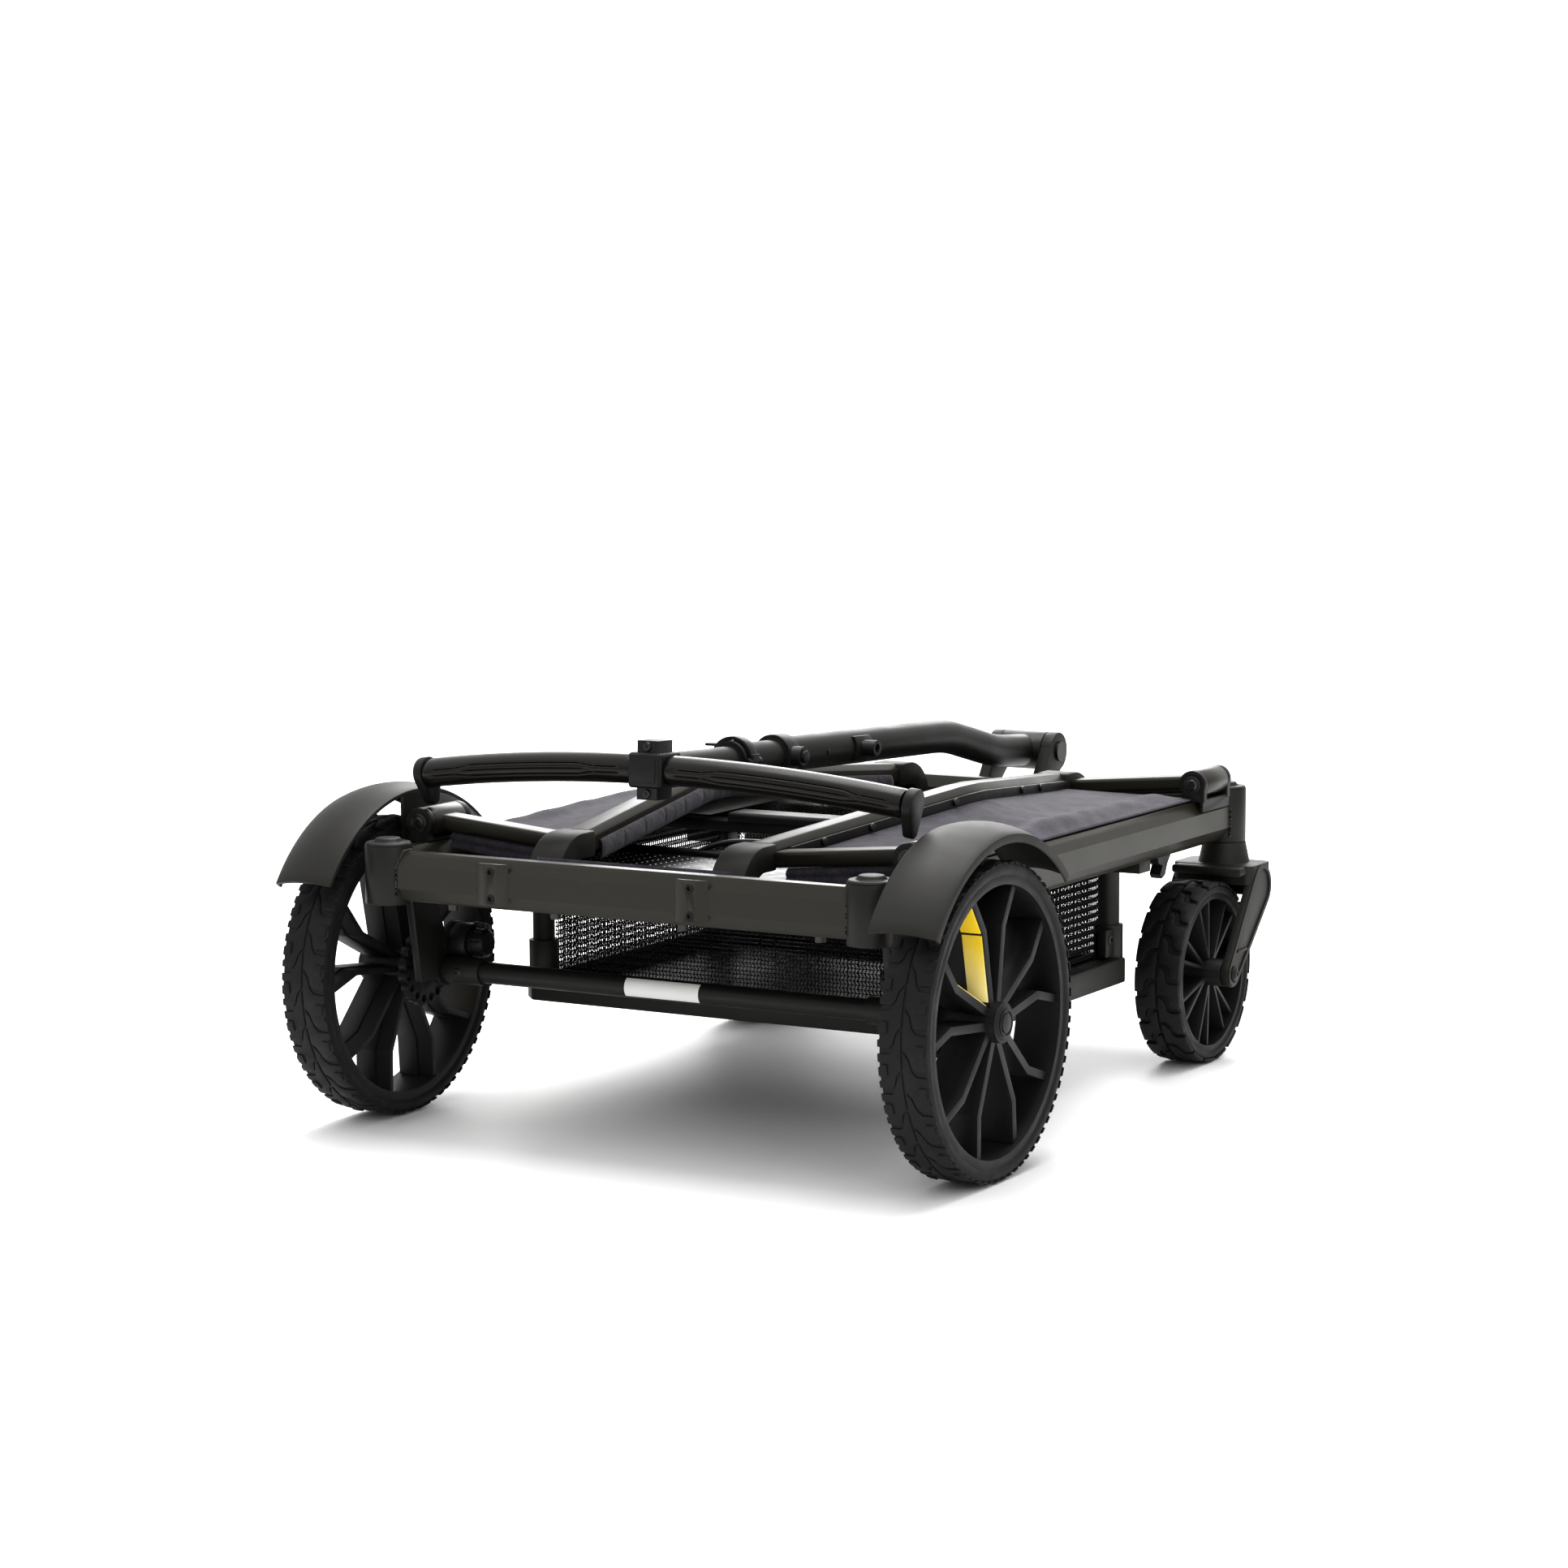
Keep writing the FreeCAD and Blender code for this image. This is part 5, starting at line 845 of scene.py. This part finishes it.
# %% Mudguard lips
AXLE_D, AXLE_Z = 79.0, 133.5
LIP_START_DEG, LIP_SWEEP_DEG, LIP_STEPS = 44.0, 102.0, 60
LIP_PROFILE = [(321.9, 154.9), (322.4, 153.0), (322.2, 148.4), (321.0, 147.6), (319.8, 148.4), (319.6, 152.6)]
for side_name, side in SIDES:
    bm = bmesh.new()
    rows = []
    for step in range(LIP_STEPS + 1):
        angle = math.radians(LIP_START_DEG + LIP_SWEEP_DEG * step / LIP_STEPS)
        rows.append([bm.verts.new((side * x, AXLE_D + r * math.cos(angle), AXLE_Z + r * math.sin(angle)))
                     for x, r in LIP_PROFILE])
    skin_tube(bm, rows)
    bmesh.ops.recalc_face_normals(bm, faces=bm.faces)
    place(bm)
    piece(bm, side_name + "_mudguard_lip", polypropylene, "chassis", 50.0)

# %% Latch hooks and socket tabs
LEG_TO_EDGE = 13.5              # front legs' axes behind the front edge of their box
TAB_X, TAB_HALF = 212.0, 4.5
HOOK_X, HOOK_THICK = 232.0, 11.0
HOOK_OUTLINE = [(545, 206.4), (574, 206.4), (567, 199), (562, 189), (555, 186), (551, 190), (556, 198), (547, 201)]
leg_front_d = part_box("footwell_legs")[1].y * 1000 - rear_sleeve_y - LEG_TO_EDGE
bm = bmesh.new()
for side in (1, -1):
    face = bm.faces.new([bm.verts.new((side * HOOK_X, d, z)) for d, z in HOOK_OUTLINE])
    push_out(bm, [face], (side * HOOK_THICK, 0, 0))
    add_block(bm, (side * TAB_X - TAB_HALF, leg_front_d - 27.0, 118.0),
              (side * TAB_X + TAB_HALF, leg_front_d - 9.0, 144.0), 1.5)
bmesh.ops.recalc_face_normals(bm, faces=bm.faces)
place(bm)
piece(bm, "latch_hooks_and_tabs", nylon, "chassis")

# %% Socket screws on the frame
BRACKET_X, BRACKET_Z = 242.0, 266.0
BRACKET_SPACING = 572.0
bm = bmesh.new()
bracket_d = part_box("wall_hinge_brackets")[0].y * 1000 - rear_sleeve_y
for side in (1, -1):
    for d in (bracket_d, bracket_d + BRACKET_SPACING):
        add_disc(bm, (side * BRACKET_X, d + 0.2, BRACKET_Z), (0, -1, 0), 8.6, 1.0)
        add_screw(bm, (side * BRACKET_X, d - 0.6, BRACKET_Z), (0, -1, 0), 5.4, 1.8)
    add_screw(bm, (side * 214.0, AXLE_D - 11.8, AXLE_Z), (0, -1, 0), 3.8, 1.4)
    add_screw(bm, (side * 216.4, leg_front_d - 18.0, 134.0), (side, 0, 0), 4.4, 1.6)
place(bm)
piece(bm, "frame_screws", black_zinc, "chassis")

# %% Screws on the rear rail's pads
bm = bmesh.new()
for x in (-121.0, 76.0):
    for z in (216.5, 239.5):
        add_screw(bm, (x, -14.8, z), (0, -1, 0), 4.4, 2.4)
place(bm)
piece(bm, "pad_screws", nylon, "chassis")

# %% Brake knob wires
PIN_D, PIN_Z = 94.9, 156.5
LOOP_STEPS, LOOP_STEP_DEG = 18, 8.0
LOOP_SWAY, LOOP_SWAY_DEG = 4.0, 20.0
WIRE_R = 0.8
bm = bmesh.new()
for side in (1, -1):
    for x, radius, start in ((208.0, 16.6, -40), (214.0, 17.4, -55)):
        loop = []
        for step in range(LOOP_STEPS + 1):
            angle = math.radians(start + LOOP_STEP_DEG * step)
            sway = LOOP_SWAY * math.sin(math.radians(LOOP_SWAY_DEG * step))
            loop.append((side * (x + sway), PIN_D + radius * math.cos(angle), PIN_Z + radius * math.sin(angle)))
        add_rod(bm, loop, WIRE_R, 8)
place(bm)
piece(bm, "brake_wires", black_zinc, "chassis", 60.0)

# %% [markdown]
# ## Wheel details
# Each hub ends in a ring round a low dome, and each caster arm carries a raised border round a sunk panel.

# %% Hub rings and domes
HUB_RING = [(-1.0, 12.0), (0.7, 11.8), (1.0, 11.2), (1.0, 10.4), (0.6, 10.0), (-1.0, 9.8)]
for side_name, side in SIDES:
    tyre_low, tyre_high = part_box(side_name + "_wheel_tyre")
    hub_low, hub_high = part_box(side_name + "_wheel_hub_fittings")
    face_x = (hub_high.x if side > 0 else -hub_low.x) * 1000
    ring = spun_profile(HUB_RING, 64)
    for vert in ring.verts:
        vert.co.x += face_x
    add_disc(ring, (face_x - 0.3, 0, 0), (1, 0, 0), 8.4, 1.6, 1.0, 48)
    centre = (tyre_low + tyre_high) / 2 * 1000
    if side < 0:
        bmesh.ops.scale(ring, verts=ring.verts, vec=(-1, 1, 1))
        bmesh.ops.reverse_faces(ring, faces=ring.faces)
    bmesh.ops.translate(ring, verts=ring.verts, vec=(0, centre.y, centre.z))
    to_metres(ring)
    made = piece(ring, side_name + "_hub_ring", nylon, side_name + "_rear_wheel")
    print(made.name, "at x = %.1f mm" % face_x)


# %% Caster arm borders
def capsule(d1, z1, r1, d2, z2, r2, inset, steps=14):
    """The outline that wraps two circles, drawn inside it by an inset."""
    span = math.hypot(d2 - d1, z2 - z1)
    heading = math.atan2(z2 - z1, d2 - d1)
    lean = math.acos((r1 - r2) / span)
    outline = []
    for d, z, r, start, stop in ((d1, z1, r1, heading + lean, heading + 2 * math.pi - lean),
                                 (d2, z2, r2, heading - lean, heading + lean)):
        for step in range(steps + 1):
            angle = start + (stop - start) * step / steps
            outline.append((d + (r - inset) * math.cos(angle), z + (r - inset) * math.sin(angle)))
    return outline


FORK_HALF = 41.0                # outer faces of a fork's arms either side of its middle
WHEEL_D, WHEEL_Z = 641.0, 86.5
ARM = (WHEEL_D, WHEEL_Z, 13.0, 708.0, 161.0, 22.0)
HOOD_HALF = 36.0
for side_name, side in SIDES:
    bm = bmesh.new()
    for out in (1, -1):
        face_x = side * FRAME_X + out * FORK_HALF
        outer = capsule(*ARM, 0.8)
        inner = capsule(*ARM, 4.6)
        rings = [[bm.verts.new((face_x + out * lift, d, z)) for d, z in line]
                 for line, lift in ((outer, -0.4), (outer, 1.3), (inner, 1.3), (inner, -0.4))]
        join_rings(bm, rings + rings[:1])
        step_x = face_x + out * 1.2
        add_block(bm, (min(face_x, step_x), 650.0, 105.0), (max(face_x, step_x), 672.0, 107.6), 0.4)
        add_disc(bm, (face_x + out * 2.3, WHEEL_D, WHEEL_Z), (out, 0, 0), 5.6, 1.2, 0.5)
        add_screw(bm, (face_x + out * 3.3, WHEEL_D, WHEEL_Z), (out, 0, 0), 4.2, 1.2)
    bmesh.ops.recalc_face_normals(bm, faces=bm.faces)
    low_x, high_x = side * FRAME_X - HOOD_HALF, side * FRAME_X + HOOD_HALF
    add_block(bm, (low_x, 668.0, 174.6), (high_x, 700.0, 182.6), 2.5)
    add_block(bm, (low_x, 716.0, 150.0), (high_x, 731.0, 181.0), 3.0)
    place(bm)
    piece(bm, side_name + "_fork_borders", polypropylene, side_name + "_caster_swivel")

# %% [markdown]
# ## The handle's centre block
# The block carries a raised plate with a bevelled edge, left plain, and its two lugs are held by socket
# screws. The block leans back with the tube.

# %% Plate and lug screws
TUBE_SLOPE = 0.0414             # rise of the folded handle's tube towards the rear
lean_angle = math.atan(TUBE_SLOPE)
back = Vector((0, -math.cos(lean_angle), math.sin(lean_angle)))
upward = Vector((0, math.sin(lean_angle), math.cos(lean_angle)))
bm = bmesh.new()
add_block(bm, (-11.5, -1.6, -10.5), (11.5, 1.2, 10.5), 1.1)
add_block(bm, (-14.6, -0.7, -13.6), (14.6, 1.2, 13.6), 1.0)
bmesh.ops.rotate(bm, verts=bm.verts, cent=(0, 0, 0), matrix=Matrix.Rotation(-lean_angle, 3, "X"))
bmesh.ops.translate(bm, verts=bm.verts, vec=bar_middle + back * 17.0)
to_metres(bm)
piece(bm, "block_plate", nylon, "handle_top")
bm = bmesh.new()
for side in (1, -1):
    add_screw(bm, bar_middle + back * 12.0 + upward * side * 20.0, back, 4.0, 1.6)
to_metres(bm)
piece(bm, "block_screws", black_zinc, "handle_top")

# %% [markdown]
# ## Hanging cloth
# The cloth's ends are hemmed round a thin rod below each post, and sag a little between the rod's ends. A
# narrow strip of the same cloth closes the gap behind the rear rail.

# %% End hems
HEM_START_X, HEM_SPAN = 116.5, 106.0
PIVOT_X, PIVOT_Z, ROD_SLOPE = 242.0, 254.5, 0.0867
for side_name, side in SIDES:
    for end_name, post_d, face in (("rear", 83.0, -1), ("front", 655.0, 1)):
        bm = bmesh.new()
        bmesh.ops.create_grid(bm, x_segments=60, y_segments=12, size=0.5)
        for vert in bm.verts:
            along, down = vert.co.x + 0.5, vert.co.y + 0.5
            x = HEM_START_X + HEM_SPAN * along
            rod_z = PIVOT_Z - (PIVOT_X - x) * ROD_SLOPE
            sag = 3.0 * math.sin(math.pi * along) + 1.2 * noise.noise(Vector((along * 4.0, down, 5.0 * side + face)))
            wrap = min(1.0, down / 0.35)
            z = rod_z + 3.6 - 5.0 * wrap - max(0.0, down - 0.3) * (11.0 + sag)
            swell = 3.9 * math.sin(math.pi / 2 * wrap) + 0.9 * math.sin(3 * math.pi * down)
            vert.co = Vector((side * x, post_d - 6.0 + face * swell, z))
        made = cloth_piece(bm, side_name + "_" + end_name + "_hem", side_name + "_wall")

# %% The strip behind the rear rail
STRIP_HALF, STRIP_HEIGHT = 96.0, 24.0
bm = bmesh.new()
bmesh.ops.create_grid(bm, x_segments=60, y_segments=8, size=0.5)
for vert in bm.verts:
    along, up = vert.co.x + 0.5, vert.co.y + 0.5
    x = -STRIP_HALF + 2 * STRIP_HALF * along
    swell = 1.4 * math.sin(math.pi * up) + 0.8 * noise.noise(Vector((x / 30.0, up, 2.0)))
    vert.co = Vector((x, 19.0 - swell, 226.0 + STRIP_HEIGHT * up))
made = cloth_piece(bm, "rear_cloth_strip", "chassis")

# %% The shiny lip of the rear board
BOARD_LIP_HALF, BOARD_LIP_STEPS = 77.0, 40
bm = bmesh.new()
lip = []
for step in range(BOARD_LIP_STEPS + 1):
    across = -BOARD_LIP_HALF + 2 * BOARD_LIP_HALF * step / BOARD_LIP_STEPS
    share = (across / BOARD_LIP_HALF) ** 2
    lip.append((across, 248.0 + 10.0 * (1 - share), 225.5 + 13.5 * (1 - share ** 2)))
add_rod(bm, lip, 2.6, 12)
place(bm)
piece(bm, "rear_board_lip", board_skin, "chassis", 60.0)

# %% [markdown]
# ## Camera, light and floor
# The camera stands a little to the right of the rear end and looks down by seven degrees. The light is a soft
# white studio: a bright surround and three large softboxes, over a wide flat floor that is almost white.

# %% Camera
TURN, DIP, ROLL = 0.5200137, 0.1206083, -0.0036     # radians
CAMERA_MM = (1709.7, -2712.4, 707.7)                # from the rear sleeves
right = Vector((math.cos(TURN), math.sin(TURN), 0))
up = Vector((-math.sin(TURN) * math.sin(DIP), math.cos(TURN) * math.sin(DIP), math.cos(DIP)))
forward = Vector((-math.sin(TURN) * math.cos(DIP), math.cos(TURN) * math.cos(DIP), -math.sin(DIP)))
camera_data = bpy.data.cameras.new("camera")
camera_data.lens = 89.04
camera_data.sensor_width = 36.0
camera = bpy.data.objects.new("camera", camera_data)
bpy.context.scene.collection.objects.link(camera)
stand = Matrix((right, up, -forward)).transposed().to_4x4() @ Matrix.Rotation(ROLL, 4, "Z")
stand.translation = Vector((CAMERA_MM[0], CAMERA_MM[1] + rear_sleeve_y, CAMERA_MM[2])) / 1000
camera.matrix_world = stand
bpy.context.scene.camera = camera
print("camera at", [round(c, 3) for c in camera.location])

# %% Studio floor
floor_white, tree, shader, where = start_material("studio_floor_white", "#fbfbfb", 0.6)
mottle(tree, shader, where, 900.0, "#fafafa", "#fcfcfc")
bm = bmesh.new()
bmesh.ops.create_grid(bm, x_segments=2, y_segments=2, size=30.0)
floor_mesh = bpy.data.meshes.new("studio_floor")
bm.to_mesh(floor_mesh)
bm.free()
floor_mesh.materials.append(floor_white)
floor = bpy.data.objects.new("studio_floor", floor_mesh)
bpy.context.scene.collection.objects.link(floor)

# %% Lights
world = bpy.data.worlds.new("white_surround")
bpy.context.scene.world = world
world.use_nodes = True
tree = world.node_tree
surround = tree.nodes["Background"]
facing = add_node(tree, "ShaderNodeTexCoord").outputs["Generated"]
axes = add_node(tree, "ShaderNodeSeparateXYZ", {"Vector": facing})
overhead = add_node(tree, "ShaderNodeMapRange", {"Value": axes.outputs["Z"], "From Max": 0.55, "To Min": 0.28,
                                                 "To Max": 1.25})
behind = add_node(tree, "ShaderNodeVectorMath", {0: facing, 1: (-math.sin(TURN), math.cos(TURN), 0)},
                  operation="DOT_PRODUCT")
backdrop = add_node(tree, "ShaderNodeMapRange", {"Value": behind.outputs["Value"], "From Min": 0.3, "From Max": 0.85,
                                                 "To Max": 1.5})
studio = add_node(tree, "ShaderNodeMath", {0: overhead.outputs["Result"], 1: backdrop.outputs["Result"]},
                  operation="MAXIMUM")
seen = add_node(tree, "ShaderNodeLightPath").outputs["Is Camera Ray"]
strength = add_node(tree, "ShaderNodeMix", {"Factor": seen, "A": studio.outputs["Value"], "B": 1.1}, data_type="FLOAT")
tree.links.new(strength.outputs["Result"], surround.inputs["Strength"])
surround.inputs["Color"].default_value = (1.0, 1.0, 1.0, 1.0)
for name, spot, aim, size, power in (
        ("softbox_top", (0.0, 0.4, 2.4), (0, 0, 0.2), 1.8, 55.0),
        ("softbox_right", (2.6, -1.6, 1.3), (0, 0, 0.2), 1.2, 9.0),
        ("softbox_back", (-1.2, 2.6, 1.7), (0, 0, 0.2), 1.6, 45.0)):
    light_data = bpy.data.lights.new(name, "AREA")
    light_data.shape = "SQUARE"
    light_data.size = size
    light_data.energy = power
    light = bpy.data.objects.new(name, light_data)
    bpy.context.scene.collection.objects.link(light)
    light.location = spot
    light.rotation_euler = (Vector(aim) - Vector(spot)).to_track_quat("-Z", "Y").to_euler()
bpy.context.scene.view_settings.view_transform = "Standard"
bpy.context.scene.view_settings.gamma = 0.84
print("lights are set")
